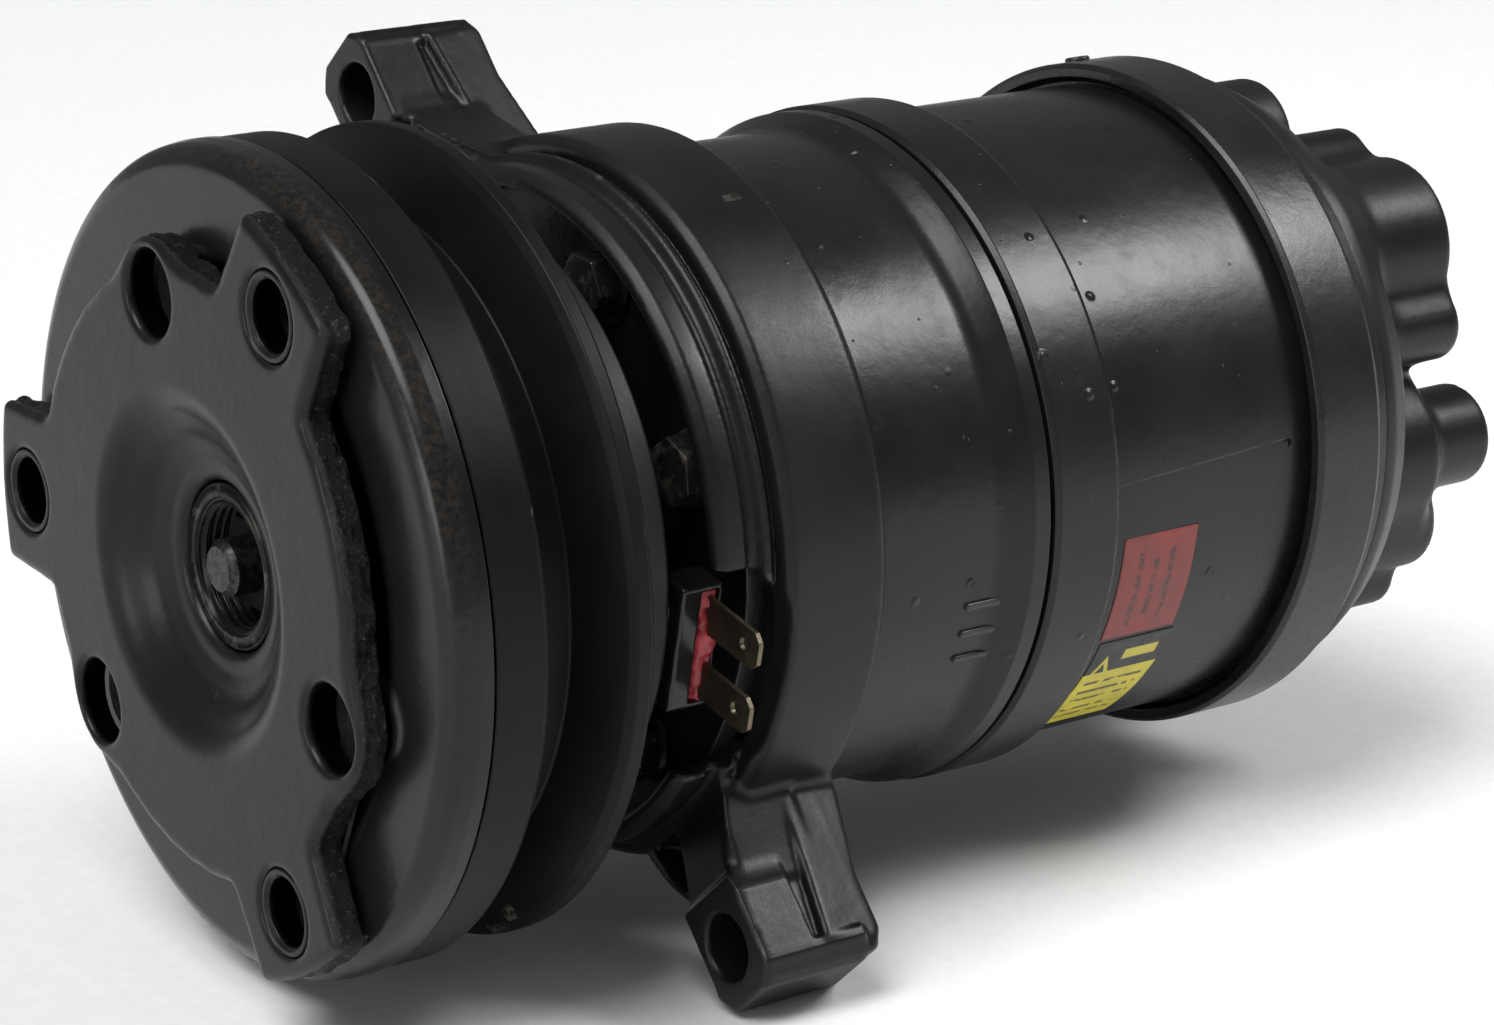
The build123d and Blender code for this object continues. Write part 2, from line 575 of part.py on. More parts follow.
def thrust_races(outer_side):
    """Two washers: outer_side 1 gives those against the blocks, 0 those against the hub."""
    races = []
    for side in (-1, 1):
        near = SWASH_Y + side * (BALL_OFFSET + RACE_T * (1 if outer_side else -2))
        bore = RACE_BORE_R if outer_side else SHAFT_R + 0.02
        races.append(ring(RACE_R, bore, min(near, near + side * RACE_T), max(near, near + side * RACE_T)))
    return group(races)


def shaft_bearing_shells():
    return group([ring(10.98, 10.02, y0, y1) for y0, y1 in SHAFT_BEARING_YS])


def shaft_bearing_rollers():
    angles = [k * 360 / SHAFT_ROLLER_COUNT for k in range(SHAFT_ROLLER_COUNT)]
    rollers = []
    for y0, y1 in SHAFT_BEARING_YS:
        rollers += pegs(SHAFT_ROLLER_R, y0 + 1, y1 - 1, 9.0, angles)
    return group(rollers)


def shaft_seal():
    return turned((SHAFT_R, -19.4), (10.2, -19.4), (10.2, -18), (11.4, -18), (11.4, -11), (SHAFT_R, -11))


def seal_seat():
    return turned((8.4, -24.6), (12.1, -24.6), (12.1, -23.4), (10.7, -23.4), (10.7, -21.5), (12.1, -21.5),
                  (12.1, -20.2), (10.4, -20.2), (10.4, -19.5), (8.4, -19.5))


def seal_snap_ring():
    open_ring = ring(13.1, 9.6, -26.1, -25.0)
    return open_ring - slab([(0, -2.5), (20, -2.5), (20, 2.5), (0, 2.5)], -27, -24, 90)


# ---- clutch -------------------------------------------------------------------------
def lobed_outline():
    """Three lobes joined by shallow waists, each with a small bulge round a plain hole."""
    edges = []
    count = len(LOBE_ANGLES)
    for k, middle in enumerate(LOBE_ANGLES):
        following = LOBE_ANGLES[(k + 1) % count] + (360 if k == count - 1 else 0)
        corner = LOBE_HALF
        points = [(LOBE_R, middle - corner), (LOBE_R, middle), (LOBE_R, middle + corner),
                  (WAIST_R, middle + WAIST_START), (WAIST_MID_R, (middle + following) / 2),
                  (WAIST_R, following - WAIST_START), (LOBE_R, following - corner)]
        xy = [(r * cos(radians(a)), r * sin(radians(a))) for r, a in points]
        edges += [ThreePointArc(xy[0], xy[1], xy[2]), Line(xy[2], xy[3]),
                  ThreePointArc(xy[3], xy[4], xy[5]), Line(xy[5], xy[6])]
    bulge = Circle(PLATE_HOLE_R + PLATE_HOLE_WALL)
    outline = make_face(edges) + PolarLocations(PLAIN_HOLE_CIRCLE_R, count, PLAIN_HOLE_ANGLES[0]) * bulge
    return fillet(outline.vertices(), 2.4)


def driver_plate():
    """Thick lobed plate with a deep dish round the hub."""
    plate = extrude(across(PLATE_BACK_Y) * lobed_outline(), PLATE_BACK_Y - PLATE_FRONT_Y)
    bulge = turned((13.6, -58), (30, PLATE_BACK_Y - 1), (30, PLATE_BACK_Y), (26, -56.5), (20.5, -53.2),
                   (13.6, -52.2))
    dish = turned((0, PLATE_FRONT_Y - 1), (DISH_R + 1.2, PLATE_FRONT_Y - 1), (DISH_R, PLATE_FRONT_Y + 0.4),
                  (DISH_R - 3, -62.2), (20, -59.2), (17, -58), (13.6, -57.6), (0, -57.6))
    bore = peg(13.5, -70, -50)
    plain = pegs(PLATE_HOLE_R, -66, -58, PLAIN_HOLE_CIRCLE_R, PLAIN_HOLE_ANGLES)
    ringed = pegs(PLATE_HOLE_R, -66, -58, RING_HOLE_CIRCLE_R, LOBE_ANGLES)
    return plate + bulge - dish - bore - plain - ringed


def plate_rivets():
    """Hollow rivets that hold the leaf springs under the plate's three outer holes."""
    rivets = []
    for angle in LOBE_ANGLES:
        sleeve = peg(PLATE_HOLE_R - 0.02, -64.3, -59.0, RING_HOLE_CIRCLE_R, angle)
        bore = peg(5.6, -66, -57, RING_HOLE_CIRCLE_R, angle)
        rivets.append(sleeve - bore)
    return group(rivets)


def hole_spot(circle_r, angle):
    return Vector(circle_r * cos(radians(angle)), circle_r * sin(radians(angle)))


def leaf_springs():
    """Spring straps from each outer hole to the next inner hole, between plate and armature."""
    straps = []
    for start_angle, end_angle in zip(LOBE_ANGLES, (102.5, 222.5, 342.5)):
        start = hole_spot(RING_HOLE_CIRCLE_R, start_angle)
        end = hole_spot(PLAIN_HOLE_CIRCLE_R, end_angle)
        run = end - start
        middle = (start + end) / 2
        neck = Pos(middle.X, middle.Y) * Rot(0, 0, degrees(atan2(run.Y, run.X))) * Rectangle(run.length, 7)
        eyes = Pos(start.X, start.Y) * Circle(7.4) + Pos(end.X, end.Y) * Circle(6.8)
        holes = Pos(start.X, start.Y) * Circle(5.6) + Pos(end.X, end.Y) * Circle(5.2)
        straps.append(extrude(across(-58.1) * (neck + eyes - holes), 0.8))
    return group(straps)


def armature():
    disc = turned((33, ARMATURE_FRONT_Y), (ARMATURE_R, ARMATURE_FRONT_Y), (ARMATURE_R, ARMATURE_BACK_Y),
                  (33, ARMATURE_BACK_Y))
    disc = rounded(disc, 2.6, ARMATURE_FRONT_Y, ARMATURE_R)
    slots = [segment(42.9, 45.5, -60, -49, a + 22, a + 98) for a in PLAIN_HOLE_ANGLES]
    holes = pegs(3.0, -60, -49, PLAIN_HOLE_CIRCLE_R, PLAIN_HOLE_ANGLES)
    relief = pegs(6.4, -60, ARMATURE_FRONT_Y + 1.2, RING_HOLE_CIRCLE_R, LOBE_ANGLES)
    return disc - slots - holes - relief


def armature_rivets():
    rivets = []
    for angle in PLAIN_HOLE_ANGLES:
        shank = peg(2.99, ARMATURE_FRONT_Y, ARMATURE_BACK_Y - 0.2, PLAIN_HOLE_CIRCLE_R, angle)
        head = peg(4.9, ARMATURE_FRONT_Y - 1.9, ARMATURE_FRONT_Y, PLAIN_HOLE_CIRCLE_R, angle)
        rivets.append(shank + rounded(head, 0.8, ARMATURE_FRONT_Y - 1.9, 4.9))
    return group(rivets)


def clutch_hub():
    hub = turned((7.02, -48.5), (10.3, -48.5), (10.3, HUB_FACE_Y + 0.8), (10.9, HUB_FACE_Y),
                 (13.0, HUB_FACE_Y), (13.48, HUB_FACE_Y + 0.5), (13.48, -50.5), (11.6, -49.6),
                 (11.6, -35.5), (7.02, -35.5))
    return hub - Pos(7.2, -42.4, 0) * Box(2.4, 14, 3.02)


def shaft_nut():
    return extrude(across(-48.5) * (RegularPolygon(8.0, 6) - Circle(4.72)), 5.0)


def pulley():
    """Rotor of the clutch with one V groove."""
    body = turned(
        (24.6, PULLEY_FRONT_Y), (PULLEY_R - 0.8, PULLEY_FRONT_Y), (PULLEY_R, PULLEY_FRONT_Y + 0.8),
        (PULLEY_R, GROOVE_FRONT_Y - 0.6), (PULLEY_R - 0.6, GROOVE_FRONT_Y), (GROOVE_BOTTOM_R, -36.7),
        (GROOVE_BOTTOM_R, -29.1), (64.6, GROOVE_REAR_Y), (66.2, GROOVE_REAR_Y + 0.9),
        (66.2, PULLEY_REAR_Y - 0.9), (65.3, PULLEY_REAR_Y), (PULLEY_WALL_R, PULLEY_REAR_Y),
        (PULLEY_WALL_R, -43.9), (30.2, -43.9), (30.2, -25), (HUB_SEAT_R, -25), (HUB_SEAT_R, -46),
        (24.6, -46),
    )
    slots = []
    for circle_r in (39.5, 57.0):
        for k in range(4):
            slots.append(segment(circle_r - 1.2, circle_r + 1.2, -51, -43, 90 * k + 6, 90 * k + 84))
    return body - slots


def bearing_inner_race():
    race = ring(BALL_PITCH_R - 1.7, NECK_R, -43.6, -27.4)
    return race - [o_ring(BALL_PITCH_R, BALL_BEARING_R + FIT, y) for y in BALL_ROWS]


def bearing_outer_race():
    race = ring(HUB_SEAT_R, BALL_PITCH_R + 1.6, -45.5, -27.4)
    return race - [o_ring(BALL_PITCH_R, BALL_BEARING_R + FIT, y) for y in BALL_ROWS]


def bearing_balls():
    balls = []
    for row, y in enumerate(BALL_ROWS):
        for k in range(BALLS_PER_ROW):
            angle = 360 * (k + row / 2) / BALLS_PER_ROW
            balls.append(Pos(outward(angle) * BALL_PITCH_R + Vector(0, y, 0)) * Sphere(BALL_BEARING_R))
    return group(balls)


def bearing_snap_ring():
    open_ring = ring(19.4, 16.5, -45.0, -43.8)
    return open_ring - slab([(0, -3), (30, -3), (30, 3), (0, 3)], -46, -43, 270)


def coil_housing():
    """Steel cup that holds the winding inside the pulley."""
    inside = NECK_ROOT_R + FIT
    return turned((inside, -8), (inside, -12), (30.9, -12), (30.9, -41.5), (33.4, -41.5), (33.4, -12.5),
                  (47.7, -12.5), (47.7, -41.5), (50.7, -41.5), (50.7, -8))


def coil_winding():
    return ring(47.5, 33.6, -40.6, -12.6)


def terminal_tray(gap, height):
    """Shallow recess round the blades, or the sealant in it, smaller all round by the gap."""
    outline = Rectangle(2 * (TERMINAL_HALF - 1.2 - gap), 4.2 - 2 * gap)
    return extrude(facing_out(TERMINAL_FACE_R - 2, TERMINAL_ANGLE) * Pos(0, 1.1) * outline, height)


def terminal_block():
    """Moulded connector on the coil's rear face, in the arch of the head's wall."""
    half = TERMINAL_HALF
    root = 43.5
    shaped = slab([(root, -half), (TERMINAL_FACE_R, -half), (TERMINAL_FACE_R, half), (root, half)],
                  -6.2, 1.8, TERMINAL_ANGLE)
    shaped += slab([(root, -7), (47.5, -7), (47.5, 7), (root, 7)], -7.9, -6, TERMINAL_ANGLE)
    tray = terminal_tray(0, 3)
    slots = [blade(offset, 0.02) for offset in (-BLADE_OFFSET, BLADE_OFFSET)]
    return shaped - tray - slots


def terminal_sealant():
    fill = terminal_tray(0.05, 2.2)
    slots = [blade(offset, 0.02) for offset in (-BLADE_OFFSET, BLADE_OFFSET)]
    return fill - slots


def blade(offset, spare=0.0):
    """One 6.3 mm spade, standing outward, with its corners cut."""
    w = BLADE_WIDTH / 2 + spare
    tip = BLADE_TIP_R
    outline = [(46, -w), (tip - 1.6, -w), (tip, -w + 1.3), (tip, w - 1.3), (tip - 1.6, w), (46, w)]
    moved = [(r, t + offset) for r, t in outline]
    plate = slab(moved, -0.9 - spare, -0.9 + BLADE_T + spare, TERMINAL_ANGLE)
    eye = extrude(across(1, TERMINAL_ANGLE) * Pos(tip - 3.9, offset) * Circle(1.05), 3)
    return plate if spare else plate - eye


def terminal_blades():
    return group([blade(BLADE_OFFSET), blade(-BLADE_OFFSET)])


# ---- writing the sub-parts ----------------------------------------------------------
def parts():
    nodes = {
        "front_head": front_head(),
        "front_cylinder": front_cylinder(),
        "rear_cylinder": rear_cylinder(),
        "rear_head": rear_head(),
        "relief_valve": relief_valve(),
        "through_bolts": through_bolts(),
        "body_orings": body_orings(),
        "head_gaskets": head_gaskets(),
        "valve_plates": valve_plates(),
        "suction_reeds": suction_reeds(),
        "discharge_reeds": discharge_reeds(),
        "locating_pins": locating_pins(),
        "red_label": label(-27.0, -6.4, 79.8, 95.8),
        "yellow_label": label(-55.0, -27.8, 80.2, 96.4),
        "shaft": shaft(),
        "shaft_key": shaft_key(),
        "swash_plate": swash_plate(),
        "thrust_needles": thrust_needles(),
        "thrust_cages": thrust_cages(),
        "thrust_races_fixed": thrust_races(1),
        "thrust_races_moving": thrust_races(0),
        "shaft_bearing_shells": shaft_bearing_shells(),
        "shaft_bearing_rollers": shaft_bearing_rollers(),
        "shaft_seal": shaft_seal(),
        "seal_seat": seal_seat(),
        "seal_seat_oring": o_ring(11.4, 0.68, -22.45),
        "seal_snap_ring": seal_snap_ring(),
        "driver_plate": driver_plate(),
        "plate_rivets": plate_rivets(),
        "leaf_springs": leaf_springs(),
        "armature": armature(),
        "armature_rivets": armature_rivets(),
        "clutch_hub": clutch_hub(),
        "shaft_nut": shaft_nut(),
        "pulley": pulley(),
        "bearing_inner_race": bearing_inner_race(),
        "bearing_outer_race": bearing_outer_race(),
        "bearing_balls": bearing_balls(),
        "bearing_snap_ring": bearing_snap_ring(),
        "coil_housing": coil_housing(),
        "coil_winding": coil_winding(),
        "terminal_block": terminal_block(),
        "terminal_sealant": terminal_sealant(),
        "terminal_blades": terminal_blades(),
    }
    for number, angle in enumerate(PISTON_ANGLES, start=1):
        nodes[f"piston_{number}"] = piston(angle)
        nodes[f"front_ball_{number}"] = ball(angle, -1)
        nodes[f"rear_ball_{number}"] = ball(angle, 1)
        nodes[f"shoes_{number}"] = group([shoe(angle, -1), shoe(angle, 1)])
        nodes[f"thrust_needle_{number}"] = thrust_needle(angle, -1)
    return nodes


os.makedirs("parts", exist_ok=True)
for name, shape in parts().items():
    export_step(shape, f"parts/{name}.step")
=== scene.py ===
import functools
import json
import math

import bmesh
import bpy
import numpy as np
from mathutils import Matrix, Vector


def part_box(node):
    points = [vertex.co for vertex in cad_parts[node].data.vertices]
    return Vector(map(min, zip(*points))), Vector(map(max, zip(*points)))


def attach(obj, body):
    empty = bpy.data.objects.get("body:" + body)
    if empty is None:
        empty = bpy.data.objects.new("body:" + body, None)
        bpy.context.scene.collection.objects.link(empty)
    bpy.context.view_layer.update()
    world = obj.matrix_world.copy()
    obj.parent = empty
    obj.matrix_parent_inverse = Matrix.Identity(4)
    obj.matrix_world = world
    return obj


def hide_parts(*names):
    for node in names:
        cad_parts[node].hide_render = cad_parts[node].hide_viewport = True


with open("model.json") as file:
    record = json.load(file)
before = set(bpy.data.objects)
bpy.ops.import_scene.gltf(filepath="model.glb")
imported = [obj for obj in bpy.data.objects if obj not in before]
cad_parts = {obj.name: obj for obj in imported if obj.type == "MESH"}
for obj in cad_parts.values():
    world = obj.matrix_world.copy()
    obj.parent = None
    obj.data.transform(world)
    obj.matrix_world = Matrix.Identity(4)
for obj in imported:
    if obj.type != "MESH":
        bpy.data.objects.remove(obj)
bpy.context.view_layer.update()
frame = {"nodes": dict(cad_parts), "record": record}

# The looks of a car air-conditioning compressor. Shapes are worked out in millimetres, in the
# frame's own axes: the shaft lies along Y, the clutch faces -Y, +Z is up. "Angle" is the angle
# about the shaft from +X towards +Z. Meshes are written in metres.
MM = 0.001
RNG = np.random.default_rng(7)


def place(node):
    """A CAD node's lowest and highest corners in millimetres."""
    low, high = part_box(node)
    return np.array(low) / MM, np.array(high) / MM


# ---- sizes and angles, in millimetres and degrees ----
PLATE_LOW, PLATE_HIGH = place("driver_plate")
PULLEY_LOW = place("pulley")[0]
HEAD_LOW, HEAD_HIGH = place("front_head")
CAP_LOW, CAP_HIGH = place("rear_head")
FLOOR_Z = min(HEAD_LOW[2], PULLEY_LOW[2]) - 0.4
PLATE_FRONT = PLATE_LOW[1]
PULLEY_FRONT = PULLEY_LOW[1]
HEAD_END = HEAD_HIGH[1]

# The frame's boxes don't give these, so they repeat the CAD part's own sizes.
PLATE_THICKNESS = 5.5
NOSE_Y = -46.0
WALL_FRONT = -3.0
HEAD_STEP_Y = 7.6
HEAD_R = 60.3
BARREL_R = 55.4
REAR_BARREL_R = 55.9
BAND_R = 58.8
CAP_R = 59.8
EAR_ANGLES = (132.0, -48.0)
EAR_TIP = 90.0
EAR_BOLT_R = 80.6
EAR_HOLE_R = 5.5
EAR_DEPTH = 24.0
LOBE_ANGLES = (59.3, 179.3, 299.3)
PLAIN_ANGLES = (102.5, -17.5, -137.5)
LOBE_R = 65.3
WAIST_R = 49.9
RING_HOLE_R = 54.7
PLAIN_HOLE_R = 44.2
PLATE_HOLE_R = 7.0
PLATE_BORE_R = 13.5
THREAD_R = 10.95
THREAD_DEPTH = 1.0
THREAD_PITCH = 1.5
BOLT_ANGLES = (21.0, 68.0, 141.0, 188.0, 261.0, 308.0)
BOLT_CIRCLE_R = 43.5
ARCH_ANGLE = -14.0
TERMINAL_ANGLE = -12.5


# ---- outlines ----
def polar(radius, angle):
    return radius * math.cos(math.radians(angle)), radius * math.sin(math.radians(angle))


PLAIN_HOLES = [polar(PLAIN_HOLE_R, angle) for angle in PLAIN_ANGLES]
RING_HOLES = [polar(RING_HOLE_R, angle) for angle in LOBE_ANGLES]


def softened(corners, radius, steps=4, closed=True):
    """The outline with an arc at each corner; a corner may carry its own radius as a third value."""
    count = len(corners)
    out = []
    for k, corner in enumerate(corners):
        here = np.array(corner[:2], float)
        size = corner[2] if len(corner) > 2 else radius
        if (not closed and k in (0, count - 1)) or size <= 0:
            out.append(tuple(here))
            continue
        to_last = np.array(corners[k - 1][:2]) - here
        to_next = np.array(corners[(k + 1) % count][:2]) - here
        last_length, next_length = np.hypot(*to_last), np.hypot(*to_next)
        a, b = to_last / last_length, to_next / next_length
        half = math.acos(max(-1.0, min(1.0, float(a @ b)))) / 2
        if half > math.radians(86) or half < math.radians(4):
            out.append(tuple(here))
            continue
        cut = min(size / math.tan(half), 0.46 * last_length, 0.46 * next_length)
        arc_r = cut * math.tan(half)
        middle = here + (a + b) / np.hypot(*(a + b)) * (arc_r / math.sin(half))
        first, last = here + a * cut - middle, here + b * cut - middle
        turn = math.atan2(first[0] * last[1] - first[1] * last[0], float(first @ last))
        for step in range(steps + 1):
            angle = turn * step / steps
            c, s = math.cos(angle), math.sin(angle)
            out.append((middle[0] + c * first[0] - s * first[1], middle[1] + s * first[0] + c * first[1]))
    return out


def inset(corners, gap):
    """A closed outline moved inward by a gap, corners kept sharp."""
    points = [np.array(c[:2], float) for c in corners]
    area = sum(a[0] * b[1] - a[1] * b[0] for a, b in zip(points, points[1:] + points[:1]))
    side = 1 if area > 0 else -1
    out = []
    for k, here in enumerate(points):
        before, after = here - points[k - 1], points[(k + 1) % len(points)] - here
        before, after = before / np.hypot(*before), after / np.hypot(*after)
        n0, n1 = np.array([-before[1], before[0]]) * side, np.array([-after[1], after[0]]) * side
        out.append(tuple(here + (n0 + n1) * gap / max(0.25, 1 + float(n0 @ n1))))
    return out


# ---- solid fields: distance to a surface, negative inside ----
class Space:
    """A box of sample points, with the coordinates that the fields are worked out from."""

    def __init__(self, low, high, step):
        self.low, self.step = np.array(low, float), step
        axes = [np.arange(a, b + step, step, dtype=np.float32) for a, b in zip(low, high)]
        self.x = axes[0][:, None, None]
        self.y = axes[1][None, :, None]
        self.z = axes[2][None, None, :]
        self.r = np.hypot(self.x, self.z)

    def outward(self, angle):
        c, s = polar(1, angle)
        return self.x * c + self.z * s

    def around(self, angle):
        c, s = polar(1, angle)
        return self.z * c - self.x * s

    def hole(self, radius, circle_r, angle):
        """Distance to an endless round bore along the shaft's direction."""
        return np.hypot(self.outward(angle) - circle_r, self.around(angle)) - radius


def outline_field(u, v, corners):
    shape = np.broadcast(u, v).shape
    nearest = np.full(shape, 1e9, np.float32)
    inside = np.zeros(shape, bool)
    points = [c[:2] for c in corners]
    for (ax, ay), (bx, by) in zip(points, points[1:] + points[:1]):
        ex, ey = bx - ax, by - ay
        if ex * ex + ey * ey < 1e-9:
            continue
        wx, wy = u - ax, v - ay
        share = np.clip((wx * ex + wy * ey) / (ex * ex + ey * ey), 0, 1)
        nearest = np.minimum(nearest, (wx - share * ex) ** 2 + (wy - share * ey) ** 2)
        if ey:
            inside ^= ((ay > v) != (by > v)) & (u < ax + (v - ay) * ex / ey)
    return np.where(inside, -1, 1) * np.sqrt(nearest)


def extruded(flat, height, low, high, corner):
    """A prism from the field of its outline; corner rounds the edges of its two ends."""
    side, end = flat + corner, np.abs(height - (low + high) / 2) - (high - low) / 2 + corner
    both = np.hypot(np.maximum(side, 0), np.maximum(end, 0))
    return np.minimum(np.maximum(side, end), 0) + both - corner


def block(u, v, corners, height, low, high, corner):
    """A prism with every edge rounded."""
    flat = outline_field(u, v, inset(corners, corner)) - corner
    return extruded(flat, height, low, high, corner)


def joined(a, b, radius):
    """Union with a fillet."""
    near = np.maximum(radius - np.abs(a - b), 0)
    return np.minimum(a, b) - near * near / (4 * radius)


def carved(a, b, radius=0.8):
    """a without b, with a rounded rim."""
    return -joined(-a, b, radius)


def common(a, b, radius=0.8):
    """Where a and b overlap, with a rounded edge."""
    return -joined(-a, -b, radius)


def rough(space, sizes, seed, count=30):
    """Smooth random numbers in space, about -1 to 1, with features of the given sizes."""
    pick = np.random.default_rng(seed)
    total = 0
    for _ in range(count):
        way = pick.normal(size=3)
        way *= 2 * math.pi / (pick.uniform(*sizes) * np.linalg.norm(way))
        total = total + np.sin(way[0] * space.x + way[1] * space.y + way[2] * space.z + pick.uniform(0, 6.3))
    return total / math.sqrt(count)


def skin(space, field):
    """Points and four-sided faces where a field changes sign (surface nets)."""
    field = np.ascontiguousarray(np.broadcast_to(field, (space.x.size, space.y.size, space.z.size)))
    inside = field < 0
    part = (slice(None, -1), slice(1, None))
    corners = [(i, j, k) for i in (0, 1) for j in (0, 1) for k in (0, 1)]
    filled = sum(inside[part[i], part[j], part[k]].astype(np.int8) for i, j, k in corners)
    cells = np.argwhere((filled > 0) & (filled < 8))
    number = np.full(filled.shape, -1, np.int64)
    number[tuple(cells.T)] = np.arange(len(cells))
    total, hits = np.zeros((len(cells), 3)), np.zeros(len(cells))
    for axis in range(3):
        along = np.eye(3, dtype=int)[axis]
        for corner in corners:
            if corner[axis]:
                continue
            start = cells + np.array(corner)
            f0, f1 = field[tuple(start.T)], field[tuple((start + along).T)]
            crosses = (f0 < 0) != (f1 < 0)
            share = f0[crosses] / (f0[crosses] - f1[crosses])
            total[crosses] += np.array(corner) + share[:, None] * along
            hits += crosses
    points = space.low + space.step * (cells + total / hits[:, None])
    faces = []
    for axis in range(3):
        along, u, v = np.roll(np.eye(3, dtype=int), -axis, axis=0)
        first = [slice(None)] * 3
        second = [slice(None)] * 3
        first[axis], second[axis] = slice(None, -1), slice(1, None)
        here, there = inside[tuple(first)], inside[tuple(second)]
        at = np.argwhere(here != there)
        keep = ((at @ u) > 0) & ((at @ v) > 0)
        keep &= ((at @ u) < number.shape[(axis + 1) % 3]) & ((at @ v) < number.shape[(axis + 2) % 3])
        at = at[keep]
        quad = np.stack([number[tuple((at - move).T)] for move in (u + v, v, 0 * u, u)], axis=1)
        leaving = here[tuple(at.T)]
        quad[~leaving] = quad[~leaving][:, ::-1]
        faces.append(quad)
    return points, np.concatenate(faces)


# ---- pieces ----
def piece(name, points, faces, material, body, slot="black_paint", crisp=False):
    """A mesh object from points in millimetres, riding on a body."""
    mesh = bpy.data.meshes.new(name)
    mesh.from_pydata((np.asarray(points) * MM).tolist(), [], [list(map(int, f)) for f in faces])
    mesh.validate()
    shape = bmesh.new()
    shape.from_mesh(mesh)
    if shape.calc_volume(signed=True) < 0:
        bmesh.ops.reverse_faces(shape, faces=shape.faces)
        shape.to_mesh(mesh)
    shape.free()
    mesh.polygons.foreach_set("use_smooth", [True] * len(mesh.polygons))
    mesh.materials.append(material)
    made = bpy.data.objects.new(name, mesh)
    bpy.context.scene.collection.objects.link(made)
    if crisp:
        weighted = made.modifiers.new("normals", "WEIGHTED_NORMAL")
        weighted.keep_sharp = True
    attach(made, body)
    return made


def lathe(profile, count=256, axis=(0.0, 0.0), closed=True):
    """Points and faces of a profile of (radius, y) turned about an axis along Y at (x, z)."""
    profile = [p[:2] for p in profile]
    rows = len(profile)
    points, faces = [], []
    for k in range(count):
        c, s = polar(1, 360 * k / count)
        points += [(axis[0] + r * c, y, axis[1] + r * s) for r, y in profile]
    for k in range(count):
        this, following = k * rows, (k + 1) % count * rows
        for j in range(rows if closed else rows - 1):
            up = (j + 1) % rows
            faces.append((this + j, this + up, following + up, following + j))
    return points, faces


def merged(*meshes):
    """One set of points and faces out of several."""
    points, faces = [], []
    for more_points, more_faces in meshes:
        start = len(points)
        points += [tuple(p) for p in more_points]
        faces += [tuple(start + i for i in f) for f in more_faces]
    return points, faces


def facing(faces, frame_of):
    """The faces, turned over where a mapping of (u, v, height) to x, y, z is a mirrored one."""
    start = np.array(frame_of(0, 0, 0))
    sides = [np.array(frame_of(*axis)) - start for axis in np.eye(3)]
    return [f[::-1] for f in faces] if np.linalg.det(sides) < 0 else faces


def bar(outline, low, high, bevel, frame_of):
    """Points and faces of a bevelled prism; frame_of maps (u, v, height) to x, y, z."""
    shape = bmesh.new()
    base = [shape.verts.new((u, v, low)) for u, v in outline]
    cap = shape.faces.new(base)
    top = bmesh.ops.extrude_face_region(shape, geom=[cap])["geom"]
    bmesh.ops.translate(shape, verts=[v for v in top if isinstance(v, bmesh.types.BMVert)],
                        vec=(0, 0, high - low))
    bmesh.ops.recalc_face_normals(shape, faces=shape.faces)
    if bevel:
        bmesh.ops.bevel(shape, geom=list(shape.edges), offset=bevel, segments=2, profile=0.5, affect="EDGES")
    shape.verts.index_update()
    points = [frame_of(*v.co) for v in shape.verts]
    faces = [tuple(v.index for v in f.verts) for f in shape.faces]
    shape.free()
    return points, facing(faces, frame_of)


def ear_frame(angle):
    """Maps (outward, around, y) at an angle to x, y, z."""
    c, s = polar(1, angle)
    return lambda o, t, y: (o * c - t * s, y, o * s + t * c)


